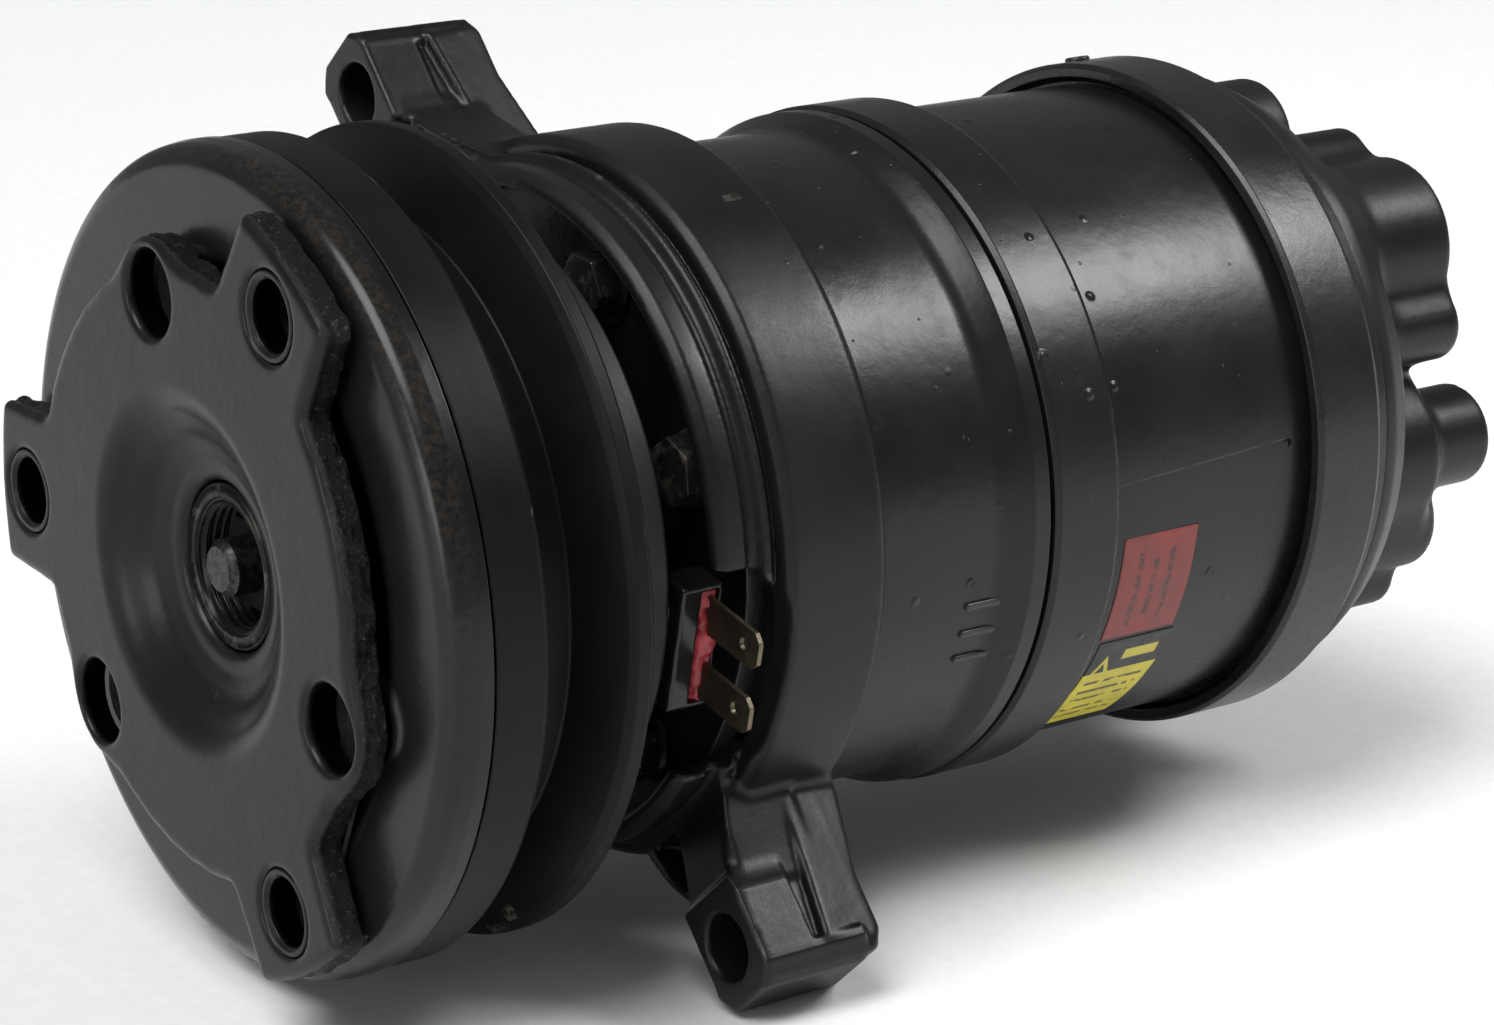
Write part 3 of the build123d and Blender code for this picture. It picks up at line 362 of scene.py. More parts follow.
# ---- materials ----
class Shader:
    """A node material with short ways to add nodes."""

    def __init__(self, name):
        self.material = bpy.data.materials.new(name)
        self.material.use_nodes = True
        self.nodes = self.material.node_tree.nodes
        self.links = self.material.node_tree.links
        self.base = self.nodes["Principled BSDF"]
        self.place = self.add("ShaderNodeTexCoord").outputs["Object"]

    def add(self, kind, **inputs):
        made = self.nodes.new(kind)
        for key, value in inputs.items():
            self.join(made.inputs[key.replace("_", " ")], value)
        return made

    def join(self, socket, value):
        if isinstance(value, bpy.types.NodeSocket):
            self.links.new(value, socket)
        else:
            socket.default_value = value

    def math(self, operation, a, b=0.0, clamp=False):
        made = self.nodes.new("ShaderNodeMath")
        made.operation, made.use_clamp = operation, clamp
        self.join(made.inputs[0], a)
        self.join(made.inputs[1], b)
        return made.outputs[0]

    def times(self, a, b):
        return self.math("MULTIPLY", a, b)

    def plus(self, a, b):
        return self.math("ADD", a, b)

    def most(self, values):
        """The largest of several values."""
        first, *rest = values
        return functools.reduce(lambda a, b: self.math("MAXIMUM", a, b), rest, first)

    def noise(self, size, detail=3.0, roughness=0.5):
        """Noise of about the given size in millimetres, from 0 to 1."""
        return self.add("ShaderNodeTexNoise", Vector=self.place, Scale=1 / (size * MM), Detail=detail,
                        Roughness=roughness).outputs["Fac"]

    def spots(self, size):
        """Distance to the nearest of many scattered points, one to each cell of the given size."""
        return self.add("ShaderNodeTexVoronoi", Vector=self.place, Scale=1 / (size * MM),
                        Randomness=1.0).outputs["Distance"]

    def ramp(self, value, low, high, start=0.0, end=1.0):
        made = self.nodes.new("ShaderNodeMapRange")
        made.interpolation_type = "SMOOTHSTEP"
        for index, number in enumerate((value, low, high, start, end)):
            self.join(made.inputs[index], number)
        return made.outputs[0]

    def mix(self, share, a, b):
        made = self.nodes.new("ShaderNodeMix")
        made.data_type = "RGBA"
        self.join(made.inputs["Factor"], share)
        self.join(made.inputs["A"], a)
        self.join(made.inputs["B"], b)
        return made.outputs["Result"]

    def polar_place(self):
        """Radius about the shaft, y, and angle in degrees, in millimetres."""
        split = self.add("ShaderNodeSeparateXYZ", Vector=self.place)
        x, y, z = split.outputs
        square = self.plus(self.times(x, x), self.times(z, z))
        radius = self.math("DIVIDE", self.math("SQRT", square), MM)
        angle = self.times(self.math("ARCTAN2", z, x), 180 / math.pi)
        return radius, self.math("DIVIDE", y, MM), angle

    def bump(self, height, distance, strength=1.0, normal=None):
        made = self.add("ShaderNodeBump", Height=height, Distance=distance * MM, Strength=strength)
        if normal is not None:
            self.links.new(normal, made.inputs["Normal"])
        return made.outputs["Normal"]

    def finish(self, color=None, roughness=None, normal=None, **fixed):
        for key, value in (("Base Color", color), ("Roughness", roughness), ("Normal", normal)):
            if value is not None:
                self.join(self.base.inputs[key], value)
        for key, value in fixed.items():
            self.base.inputs[key.replace("_", " ")].default_value = value
        return self.material


def rgb(level, tint=(1.0, 1.0, 1.0)):
    return (level * tint[0], level * tint[1], level * tint[2], 1.0)


def edge_mask(s, low=0.515, high=0.56):
    """Where the surface is a convex edge."""
    return s.ramp(s.add("ShaderNodeNewGeometry").outputs["Pointiness"], low, high)


def stripes(s, value, low, high, soft=0.06):
    """1 between two values, with a soft edge."""
    return s.times(s.ramp(value, low - soft, low + soft), s.ramp(value, high + soft, high - soft))


def black_paint(name, level, gloss, peel, worn=0.0, warm=0.0, shine=0.38):
    """Satin black enamel: orange peel, specks of dust, slow waves and, where worn, rubbed edges."""
    s = Shader(name)
    patch = s.noise(22, 4)
    fine = s.noise(2.6, 2)
    grain = s.noise(0.45, 2)
    speck = s.times(s.ramp(s.spots(6.5), 0.075, 0.02), s.ramp(patch, 0.5, 0.62))
    cool = rgb(level * 0.8, (0.94, 1.0, 1.05))
    light = rgb(level * 1.35, (1.0, 1.0, 0.98))
    color = s.mix(s.ramp(patch, 0.3, 0.7), cool, light)
    color = s.mix(s.times(speck, 0.5), color, rgb(level * 3.0))
    roughness = s.plus(s.ramp(patch, 0.25, 0.75, gloss - 0.05, gloss + 0.07),
                       s.times(s.math("SUBTRACT", grain, 0.5), 0.14))
    if worn:
        rub = s.times(edge_mask(s), s.ramp(s.noise(4.5, 5, 0.65), 0.5, 0.68))
        rub = s.times(rub, worn)
        color = s.mix(rub, color, rgb(0.2, (1.0, 0.86 - 0.2 * warm, 0.72 - 0.32 * warm)))
        roughness = s.math("SUBTRACT", roughness, s.times(rub, 0.12))
    height = s.plus(s.times(fine, peel), s.times(grain, 0.25 * peel))
    height = s.plus(height, s.times(speck, 1.6))
    normal = s.bump(height, 0.05)
    normal = s.bump(s.noise(13, 2), 0.12, 1.0, normal)
    return s.finish(color, roughness, normal, Specular_IOR_Level=shine)


def hole_mask(s, size):
    """1 within the given distance, in millimetres, of any of the drive plate's six hole axes."""
    x, _, z = s.add("ShaderNodeSeparateXYZ", Vector=s.place).outputs
    x, z = s.math("DIVIDE", x, MM), s.math("DIVIDE", z, MM)
    near = []
    for centre in PLAIN_HOLES + RING_HOLES:
        dx, dz = (s.math("SUBTRACT", value, middle) for value, middle in zip((x, z), centre))
        away = s.math("SQRT", s.plus(s.times(dx, dx), s.times(dz, dz)))
        near.append(s.ramp(away, size + 0.3, size - 0.3))
    return s.most(near)


def plate_paint():
    """The drive plate's enamel: smooth faces, glints over the torn rim, and painted shade, near black, on
    its hole walls.
    """
    s = Shader("black_paint_plate")
    radius, y, _ = s.polar_place()
    patch, grain = s.noise(18, 4), s.noise(0.5, 2)
    torn = s.times(s.ramp(y, PLATE_FRONT + 0.6, PLATE_FRONT + 1.9), s.ramp(radius, 44, 47))
    crumbs = s.noise(0.9, 5, 0.7)
    face = s.mix(s.ramp(patch, 0.3, 0.7), rgb(0.0055, (0.9, 1, 1.12)), rgb(0.008, (0.94, 1, 1.06)))
    glint = s.ramp(crumbs, 0.56, 0.74)
    rim = s.mix(glint, rgb(0.002), rgb(0.13, (1.0, 0.93, 0.88)))
    speck = s.ramp(s.spots(9), 0.07, 0.03)
    face = s.mix(s.times(speck, 0.2), face, rgb(0.06))
    edge = s.times(edge_mask(s, 0.53, 0.6), s.ramp(s.noise(3, 4), 0.5, 0.62))
    face = s.mix(s.times(edge, 0.3), face, rgb(0.09, (1, 0.92, 0.84)))
    color = s.mix(torn, face, rim)
    smooth = s.ramp(grain, 0.2, 0.8, 0.27, 0.36)
    roughness = s.math("SUBTRACT", smooth, s.times(torn, 0.08))
    # Painted shade: within the holes, deeper than the front face, the walls are painted near black, metallic
    # and rough.
    inside = s.times(s.ramp(y, PLATE_FRONT + 0.7, PLATE_FRONT + 1.8), hole_mask(s, 7.5))
    color = s.mix(inside, color, rgb(0.001))
    roughness = s.plus(roughness, s.times(inside, 0.4))
    torn = s.math("SUBTRACT", torn, inside, True)
    s.join(s.base.inputs["Metallic"], s.math("MAXIMUM", inside, s.times(torn, glint)))
    waves = s.bump(s.plus(s.noise(2.4, 2), s.times(grain, 0.3)), 0.05)
    waves = s.bump(s.noise(15, 2), 0.15, 1.0, waves)
    normal = s.bump(s.times(crumbs, torn), 0.9, 1.0, waves)
    return s.finish(color, roughness, normal, Specular_IOR_Level=0.22)


def barrel_paint(name, scratch=False):
    """Enamel on a barrel: slow waves, chips and dust under the paint, and one long scratch if asked."""
    s = Shader(name)
    _, y, angle = s.polar_place()
    patch, fine, grain = s.noise(20, 4), s.noise(2.2, 2), s.noise(0.45, 2)
    chips = s.times(s.ramp(s.spots(7.5), 0.16, 0.05), s.ramp(s.noise(26, 2), 0.47, 0.54))
    dots = s.times(s.ramp(s.spots(3.4), 0.1, 0.04), s.ramp(s.noise(12, 2), 0.52, 0.6))
    color = s.mix(s.ramp(patch, 0.3, 0.7), rgb(0.0058, (0.9, 1, 1.1)), rgb(0.0085, (0.95, 1, 1.05)))
    color = s.mix(s.times(dots, 0.4), color, rgb(0.04))
    color = s.mix(s.times(edge_mask(s, 0.53, 0.62), 0.35), color, rgb(0.08, (1, 0.95, 0.9)))
    roughness = s.plus(s.ramp(patch, 0.25, 0.75, 0.24, 0.3), s.times(grain, 0.05))
    roughness = s.plus(roughness, s.times(s.ramp(s.noise(5, 4, 0.6), 0.5, 0.7), 0.03))
    if scratch:
        slope = s.math("SUBTRACT", angle, s.times(s.math("SUBTRACT", y, 96), 0.06))
        line = s.times(stripes(s, slope, 4.32, 4.5, 0.09), stripes(s, y, 77.5, 118, 2.0))
        line = s.times(line, s.ramp(s.noise(3, 4), 0.36, 0.5))
        color = s.mix(s.times(line, 0.7), color, rgb(0.07, (1.0, 0.9, 0.75)))
    height = s.plus(s.times(fine, 0.6), s.times(grain, 0.2))
    normal = s.bump(height, 0.05)
    normal = s.bump(s.noise(9, 3), 0.11, 1.0, normal)
    normal = s.bump(s.plus(chips, s.times(dots, 0.5)), 0.26, 1.0, normal)
    return s.finish(color, roughness, normal, Specular_IOR_Level=0.32)


def clutch_paint(name, level, gloss, shine, holes=False):
    """Glossy enamel with faint brown rub marks at the upper shoulder, and painted shade, near black, inward
    of a radius and, with holes, where the plate's holes show it.
    """
    s = Shader(name)
    radius, y, angle = s.polar_place()
    patch, grain = s.noise(16, 4), s.noise(0.5, 2)
    color = s.mix(s.ramp(patch, 0.3, 0.7), rgb(level, (0.92, 1, 1.08)), rgb(level * 1.5))
    # Painted shade: near black, metallic and rough where the drive plate hides the part, and, with holes,
    # also round the plate's hole axes.
    shade_behind_plate = s.ramp(radius, 51.5, 49)
    if holes:
        shade_behind_plate = s.math("MAXIMUM", shade_behind_plate, hole_mask(s, 7.3))
    color = s.mix(shade_behind_plate, color, rgb(0.0008))
    s.join(s.base.inputs["Metallic"], shade_behind_plate)
    rub = s.times(stripes(s, angle, 8, 96, 22), s.ramp(s.noise(1.1, 5, 0.7), 0.36, 0.72))
    band = s.times(s.ramp(radius, 63.2, 65.6), stripes(s, y, -57.9, -52.4, 0.8))
    rub = s.times(rub, band)
    color = s.mix(s.times(rub, 0.42), color, rgb(0.05, (1.0, 0.78, 0.58)))
    worn = s.times(edge_mask(s, 0.52, 0.58), s.ramp(s.noise(4, 5, 0.7), 0.48, 0.62))
    worn = s.times(worn, s.ramp(radius, 62, 63))
    color = s.mix(s.times(worn, 0.6), color, rgb(0.2, (1.0, 0.86, 0.7)))
    roughness = s.plus(s.ramp(patch, 0.25, 0.75, gloss, gloss + 0.08), s.times(grain, 0.05))
    roughness = s.plus(roughness, s.times(shade_behind_plate, 0.5))
    normal = s.bump(s.plus(s.noise(2.4, 2), s.times(grain, 0.2)), 0.03)
    normal = s.bump(s.noise(12, 3), 0.12, 1.0, normal)
    return s.finish(color, roughness, normal, Specular_IOR_Level=shine)


def shaft_steel():
    """Ground steel, dulled by overspray on the nose that shows in the hub."""
    s = Shader("shaft_steel")
    _, y, _ = s.polar_place()
    fine = s.noise(0.5, 3)
    overspray = s.mix(s.ramp(s.noise(1.2, 3), 0.4, 0.6), rgb(0.018), rgb(0.05))
    color = s.mix(s.ramp(y, NOSE_Y + 2, NOSE_Y), (0.5, 0.5, 0.49, 1), overspray)
    return s.finish(color, s.ramp(fine, 0.25, 0.75, 0.28, 0.42), s.bump(fine, 0.03), Metallic=0.85)


def plain_metal(name, color, roughness, grain=0.7):
    """Bare metal: fine grain, blotches and lighter edges."""
    s = Shader(name)
    blotch = s.noise(7, 4, 0.6)
    fine = s.noise(grain, 3)
    dark = (*(c * 0.62 for c in color), 1)
    light = (*(min(1, c * 1.5) for c in color), 1)
    base = s.mix(s.ramp(blotch, 0.3, 0.72), dark, (*color, 1))
    base = s.mix(s.times(edge_mask(s), 0.4), base, light)
    worn = s.ramp(fine, 0.2, 0.8, roughness - 0.08, roughness + 0.1)
    return s.finish(base, worn, s.bump(fine, 0.03), Metallic=1.0)


def floor_material():
    """Plain pale paper with a trace of grain."""
    s = Shader("studio_floor")
    fine = s.noise(3, 3)
    color = s.mix(s.ramp(fine, 0.2, 0.8), rgb(0.86), rgb(0.9))
    return s.finish(color, s.ramp(fine, 0.3, 0.7, 0.6, 0.7), None, Specular_IOR_Level=0.2)


def sealant_material():
    s = Shader("red_sealant")
    patch = s.noise(2.2, 4)
    color = s.mix(s.ramp(patch, 0.3, 0.7), (0.26, 0.018, 0.026, 1), (0.42, 0.045, 0.055, 1))
    normal = s.bump(s.noise(0.9, 3), 0.12)
    return s.finish(color, s.ramp(patch, 0.3, 0.7, 0.3, 0.45), normal)


PAINT = black_paint("black_paint", 0.006, 0.3, 1.0)
CAST_PAINT = black_paint("black_paint_casting", 0.0055, 0.38, 0.8, worn=0.25, shine=0.28)
CAP_PAINT = black_paint("black_paint_rear_head", 0.008, 0.28, 1.2, worn=0.6, warm=0.9)
COIL_PAINT = black_paint("coil_case_paint", 0.004, 0.5, 0.8)
# The armature's and the pulley's paints paint shade, near black, inward of a 50 mm radius; the armature's
# also round the plate's holes.
RIM_PAINT = clutch_paint("black_paint_armature", 0.0055, 0.18, 0.28, holes=True)
PULLEY_PAINT = clutch_paint("black_paint_pulley", 0.004, 0.36, 0.15)
PLATE_PAINT = plate_paint()
HUB_METAL = black_paint("hub_painted_steel", 0.004, 0.3, 0.8, worn=0.3, shine=0.15)
BOLT_METAL = black_paint("bolt_black_oxide", 0.009, 0.26, 0.6, worn=0.3)
BLADE_METAL = plain_metal("terminal_brass", (0.15, 0.128, 0.088), 0.45)
PLASTIC = black_paint("connector_plastic", 0.008, 0.25, 0.5, worn=0.3)
SEALANT = sealant_material()


# ---- clutch ----
def lobed_outline():
    """Three lobes joined by shallow waists."""
    corners = []
    half_lobe, waist_start, waist_span, corner_r = 12.5, 17.5, 85, 2.4
    for middle in LOBE_ANGLES:
        for share in np.linspace(-1, 1, 9):
            corners.append((*polar(LOBE_R, middle + half_lobe * share), corner_r if abs(share) == 1 else 0))
        for share in np.linspace(0, 1, 12):
            radius = WAIST_R - 0.7 * math.sin(math.pi * share)
            angle = middle + waist_start + waist_span * share
            corners.append((*polar(radius, angle), corner_r if share in (0, 1) else 0))
    return softened(corners, 0, 5)


def drive_plate():
    """Stamped plate with a deep dish, six holes and a torn, sheared rim."""
    space = Space((-67.5, PLATE_FRONT - 1.5, -67.5), (67.5, PLATE_HIGH[1] + 1, 67.5), 0.5)
    flat = outline_field(space.x, space.z, lobed_outline())
    for angle in PLAIN_ANGLES:
        flat = joined(flat, space.hole(PLATE_HOLE_R + 2, PLAIN_HOLE_R, angle), 7.0)
    rear = PLATE_FRONT + PLATE_THICKNESS
    depth = (space.y - PLATE_FRONT) / PLATE_THICKNESS
    torn = 1 / (1 + np.exp(-(depth - 0.46) * 18))
    groove = np.exp(-((depth - 0.42) / 0.09) ** 2)
    flat = flat + 0.3 + 0.4 * groove + torn * 0.3 * rough(space, (1.8, 5.0), 3)
    flat = flat + 0.06 * rough(space, (3, 8), 5)
    rolled = common(flat, PLATE_FRONT - space.y, 2.4)
    plate = common(rolled, space.y - rear, 0.8)
    dish = softened([(-1, PLATE_FRONT - 5), (28.7, PLATE_FRONT - 5), (28.5, PLATE_FRONT - 0.6, 3),
                     (25.5, -62.4, 5), (20, -59.4, 5), (17, -58, 3), (13.6, -57.7), (-1, -57.7)], 0, 6)
    bulge = [(13.6, -60), (30, -60), (29, PLATE_HIGH[1] - 4.5), (22, PLATE_HIGH[1] - 0.6),
             (13.6, PLATE_HIGH[1])]
    body = joined(plate, outline_field(space.r, space.y, bulge), 2.0)
    body = carved(body, outline_field(space.r, space.y, dish), 2.4)
    body = carved(body, space.r - PLATE_BORE_R, 0.5)
    for angle in PLAIN_ANGLES:
        body = carved(body, space.hole(PLATE_HOLE_R, PLAIN_HOLE_R, angle), 1.4)
    for angle in LOBE_ANGLES:
        body = carved(body, space.hole(PLATE_HOLE_R + 0.05, RING_HOLE_R, angle), 1.2)
    made = piece("drive_plate", *skin(space, body), PLATE_PAINT, "shaft")
    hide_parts("driver_plate")


def plate_rings():
    """Hollow rivets in the three outer holes."""
    outline = softened([(5.6, PLATE_FRONT + 0.9), (6.2, PLATE_FRONT + 0.3), (6.98, PLATE_FRONT + 0.3),
                        (6.98, -59.1), (5.6, -59.1)], 0.25, 3)
    rings = [lathe(outline, 64, centre) for centre in RING_HOLES]
    # The plate's paint also paints shade, near black, on the rivets deeper than the plate's front face.
    made = piece("plate_rings", *merged(*rings), PLATE_PAINT, "shaft", crisp=True)
    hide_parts("plate_rivets")


def hub():
    """Threaded hub in the dish, with its thread cut as a real helix."""
    count, throat_r, lip_y, rear = 240, 9.6, -56.6, -35.5
    outline = softened([(13.0, -57.1, 0.4), (13.48, lip_y), (13.48, -50.5), (11.6, -49.6), (11.6, rear),
                        (throat_r, rear), (throat_r, NOSE_Y)], 0.15, 3)
    thread_y = np.arange(NOSE_Y, lip_y, -0.125)
    rows = len(thread_y) + 2
    points, faces = [], []
    for k in range(count):
        share = k / count
        c, s = polar(1, 360 * share)
        points.append((throat_r * c, NOSE_Y, throat_r * s))
        for y in thread_y:
            phase = (y / THREAD_PITCH + share) % 1.0
            radius = THREAD_R - THREAD_DEPTH * (1 - abs(2 * phase - 1))
            points.append((radius * c, y, radius * s))
        points.append((THREAD_R * c, lip_y, THREAD_R * s))
    for k in range(count):
        this, following = k * rows, (k + 1) % count * rows
        faces += [(this + j, following + j, following + j + 1, this + j + 1) for j in range(rows - 1)]
    lip = [(THREAD_R, lip_y), (11.1, -57.0), (11.4, -57.1), (13.0, -57.1)]
    shell = lathe([(throat_r, NOSE_Y)] + outline[::-1][2:] + lip[::-1], count, closed=False)
    made = piece("clutch_hub_threaded", *merged((points, faces), shell), HUB_METAL, "shaft", "hub_steel",
                 crisp=True)
    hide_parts("clutch_hub")


def armature_plate():
    inner_r, outer_r, front, rear = 33, 66.95, -57.6, -50.4
    outline = softened([(inner_r, front), (63.4, front, 4.5), (66.4, -56.1, 3.2), (outer_r, -52.6, 2.0),
                        (outer_r, rear, 0.25), (inner_r, rear)], 0.3, 7)
    made = piece("armature_plate", *lathe(outline, 320), RIM_PAINT, "armature", crisp=True)
    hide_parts("armature")


def pulley_rotor():
    bore_r, hub_r, inside_r, groove_r, front_r, rear_r = 26.6, 30.2, 51.5, 54.7, 66.7, 66.2
    web_y, hub_end, rear = -43.9, -25, -21.2
    outline = softened([
        (bore_r, PULLEY_FRONT), (front_r, PULLEY_FRONT, 0.3), (front_r, -41.4, 0.4), (66.1, -40.5, 0.5),
        (groove_r, -36.7, 0.6), (groove_r, -29.1, 0.6), (64.6, -25.3, 0.5), (rear_r, -24.4, 0.5),
        (rear_r, -22.1, 0.6), (65.3, rear, 0.4), (inside_r, rear, 0.5), (inside_r, web_y), (hub_r, web_y),
        (hub_r, hub_end), (bore_r, hub_end)], 0.3, 4)
    made = piece("pulley_rotor", *lathe(outline, 320), PULLEY_PAINT, "pulley", crisp=True)
    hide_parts("pulley")


# ---- housing ----
def ear(space, angle):
    """Mounting ear: a front pad and a tapered rear arm that meet at the tip, and a ribbed foot."""
    o, t = space.outward(angle), space.around(angle)
    tip = EAR_TIP
    end = [(tip - 3.5, -8), (tip, -5), (tip, 5.5), (tip - 3, 9)]
    core = block(o, t, [(50, -7.2), (tip - 1, -7.2), (tip - 1, 7.2), (50, 7.2)], space.y, 0.8, 22.5, 0.6)
    pad = block(o, t, [(70, -8), *end, (74.5, 9), (70, 7.4)], space.y, 0, 10.4, 0.5)
    wall = block(o, t, [(tip - 5, -8), *end, (tip - 5, 9)], space.y, 0, EAR_DEPTH - 4, 0.5)
    arm = outline_field(o, space.y, softened([(48, 17.2, 0.1), (tip - 3.5, 12, 0.1), (tip, 12, 0.1),
                                              (tip, EAR_DEPTH - 4, 2), (tip - 3.5, EAR_DEPTH, 3),
                                              (77, EAR_DEPTH, 6), (62, 27.6, 6), (48, 27.6)], 0.3, 3))
    side = (np.abs(t) - 9.4 + 0.16 * (space.y - 12)) * 0.987
    arm = common(common(arm, side, 1.2), outline_field(o, t, [(40, -12), (tip - 5, -10), (tip, -5),
                                                              (tip, 5.5), (tip - 4.5, 10), (40, 12)]), 0.8)
    foot = block(o, t, [(47, -25), (53.5, -21.5), (71.5, -8), (74, -7.4), (74, 7.4), (56, 10), (47, 17)],
                 space.y, 3.0, 17.5, 0.8)
    for cell, end_y in (([(57.2, -15.4), (67.8, -8.8), (64, -3.2), (57.2, -8)], 14.0),
                        ([(57.2, -6.4), (62.7, -2.6), (61, 5.6), (57.2, 6.6)], 13.0),
                        ([(64.4, -2.2), (71.2, -1.0), (71.2, 5.4), (62.6, 5.4)], 12.0)):
        foot = carved(foot, block(o, t, cell, space.y, -4, end_y, 0.6), 0.8)
    whole = joined(joined(core, foot, 1.2), joined(joined(pad, wall, 0.2), arm, 0.5), 0.9)
    slope = block(o, space.y, [(40, -9), (71, -9), (71, 1.2), (52.5, 6.4), (40, 6.4)], t, -40, 40, 0.3)
    whole = carved(whole, slope, 0.8)
    return carved(whole, space.r - 55.8, 0.4)


def head_casting():
    """Outer shell of the front head with its two ears and the arch over the connector."""
    space = Space((-HEAD_R - 7, WALL_FRONT - 1, -74), (HEAD_R + 7, HEAD_END + 4.5, 74), 0.5)
    wall = [(53.2, 4.4), (53.2, WALL_FRONT + 0.8), (53.8, WALL_FRONT), (55.2, WALL_FRONT), (56.6, -1.4),
            (56.6, 2.0), (55.7, 3.0), (55.7, 4.2), (57.7, 5.4), (57.7, 6.4), (56.4, 7.2),
            (56.4, HEAD_STEP_Y), (HEAD_R - 1.3, HEAD_STEP_Y), (HEAD_R, HEAD_STEP_Y + 1.5),
            (HEAD_R, HEAD_END - 2.2), (HEAD_R - 2, HEAD_END), (BARREL_R - 0.6, HEAD_END),
            (BARREL_R - 0.6, 8.2), (50.5, 8.2), (50.5, 4.4)]
    body = outline_field(space.r, space.y, softened(wall, 0.35, 2))
    for angle in EAR_ANGLES:
        o = space.outward(angle)
        body = np.where(o > 40, joined(body, ear(space, angle), 2.0), body)
        body = carved(body, space.hole(EAR_HOLE_R, EAR_BOLT_R, angle) + np.where(o > 60, 0, 99), 0.6)
    o, t = space.outward(ARCH_ANGLE), space.around(ARCH_ANGLE)
    arch_corners = softened([(-21.5, -12), (16.5, -12), (16.5, 8.4, 7.5), (-21.5, 8.4, 7.5)], 0, 5)
    arch = np.maximum(outline_field(t, space.y, arch_corners), 46 - o)
    body = carved(body, arch, 0.9)
    made = piece("front_head_casting", *skin(space, body), CAST_PAINT, "housing")
    thinned = made.modifiers.new("thinned", "DECIMATE")
    thinned.ratio = 0.55
    web = softened([(53.6, 4.2), (24, 4.2, 1), (24, -13), (19.5, -16), (19.5, -22), (17.4, -24), (17.4, -46),
                    (12.3, -46), (12.3, 8), (53.6, 8)], 0.3, 3)
    inner = piece("front_head_web", *lathe(web, 192), PAINT, "housing", crisp=True)
    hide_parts("front_head")
    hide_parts("front_head")


def bolt_heads():
    """Hex flange heads of the six through bolts, with their shanks inside the castings."""
    washer = softened([(0.02, 2.6), (5.4, 2.6), (6.2, 3.2), (6.2, 4.0), (0.02, 4.0)], 0.2, 3, closed=False)
    shank = [(3.45, 4.0), (3.45, 152.0), (0.02, 152.0)]
    heads = []
    for angle in BOLT_ANGLES:
        centre = polar(BOLT_CIRCLE_R, angle)
        heads.append(lathe(washer, 48, centre, closed=False))
        corners = [polar(5.8, 60 * k + angle * 1.7) for k in range(6)]
        heads.append(bar(corners, -1.5, 2.7, 0.45, lambda u, v, h, c=centre: (c[0] + u, h, c[1] + v)))
        heads.append(lathe(shank, 24, centre, closed=False))
    made = piece("through_bolt_set", *merged(*heads), BOLT_METAL, "housing", "zinc_bolt", crisp=True)
    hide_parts("through_bolts")


def barrels():
    front = softened([(54.2, HEAD_END - 4), (BARREL_R, HEAD_END - 4), (BARREL_R, 53.5, 6), (57.6, 57.2, 2.0),
                      (58.2, 58.4, 0.8), (58.2, 61.8, 0.5), (55.9, 61.8), (54.2, 61.8)], 0.3, 5)
    ridges = []
    for angle in (-12.8, -18.2, -23.4):
        outline = softened([(-0.62, 47.4), (0.62, 47.4), (0.62, 57.6), (-0.62, 57.6)], 0.5, 3)
        ridges.append(bar(outline, BARREL_R - 0.6, BARREL_R + 0.5, 0.0,
                          lambda u, v, h, place_at=ear_frame(angle): place_at(h, u, v)))
    paint = barrel_paint("black_paint_front_barrel")
    made = piece("front_barrel", *merged(lathe(front, 384), *ridges), paint, "housing", crisp=True)
    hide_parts("front_cylinder")
    rear = softened([(54.4, 62.6), (BAND_R - 0.8, 62.6, 0.4), (BAND_R, 63.4, 0.5), (BAND_R, 75.2, 0.8),
                     (BAND_R - 0.5, 76.2, 0.8), (REAR_BARREL_R, 77.2, 0.8),
                     (REAR_BARREL_R, CAP_LOW[1] + 3.5), (54.4, CAP_LOW[1] + 3.5)], 0.3, 5)
    paint = barrel_paint("black_paint_rear_barrel", True)
    made = piece("rear_barrel", *lathe(rear, 384), paint, "housing", crisp=True)
    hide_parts("rear_cylinder")


# Angle, distance from the shaft, radius and rear end of each boss.
BOSSES = ((44.5, 40.0, 15.0, 165.0), (104.5, 41.0, 11.4, 166.0), (-33.0, 39.5, 9.8, 165.0),
          (-15.5, 33.0, 15.5, 161.0), (-135.5, 33.0, 15.5, 158.0), (164.5, 38.0, 13.0, 160.0),
          (-78.0, 37.0, 11.0, 158.0))


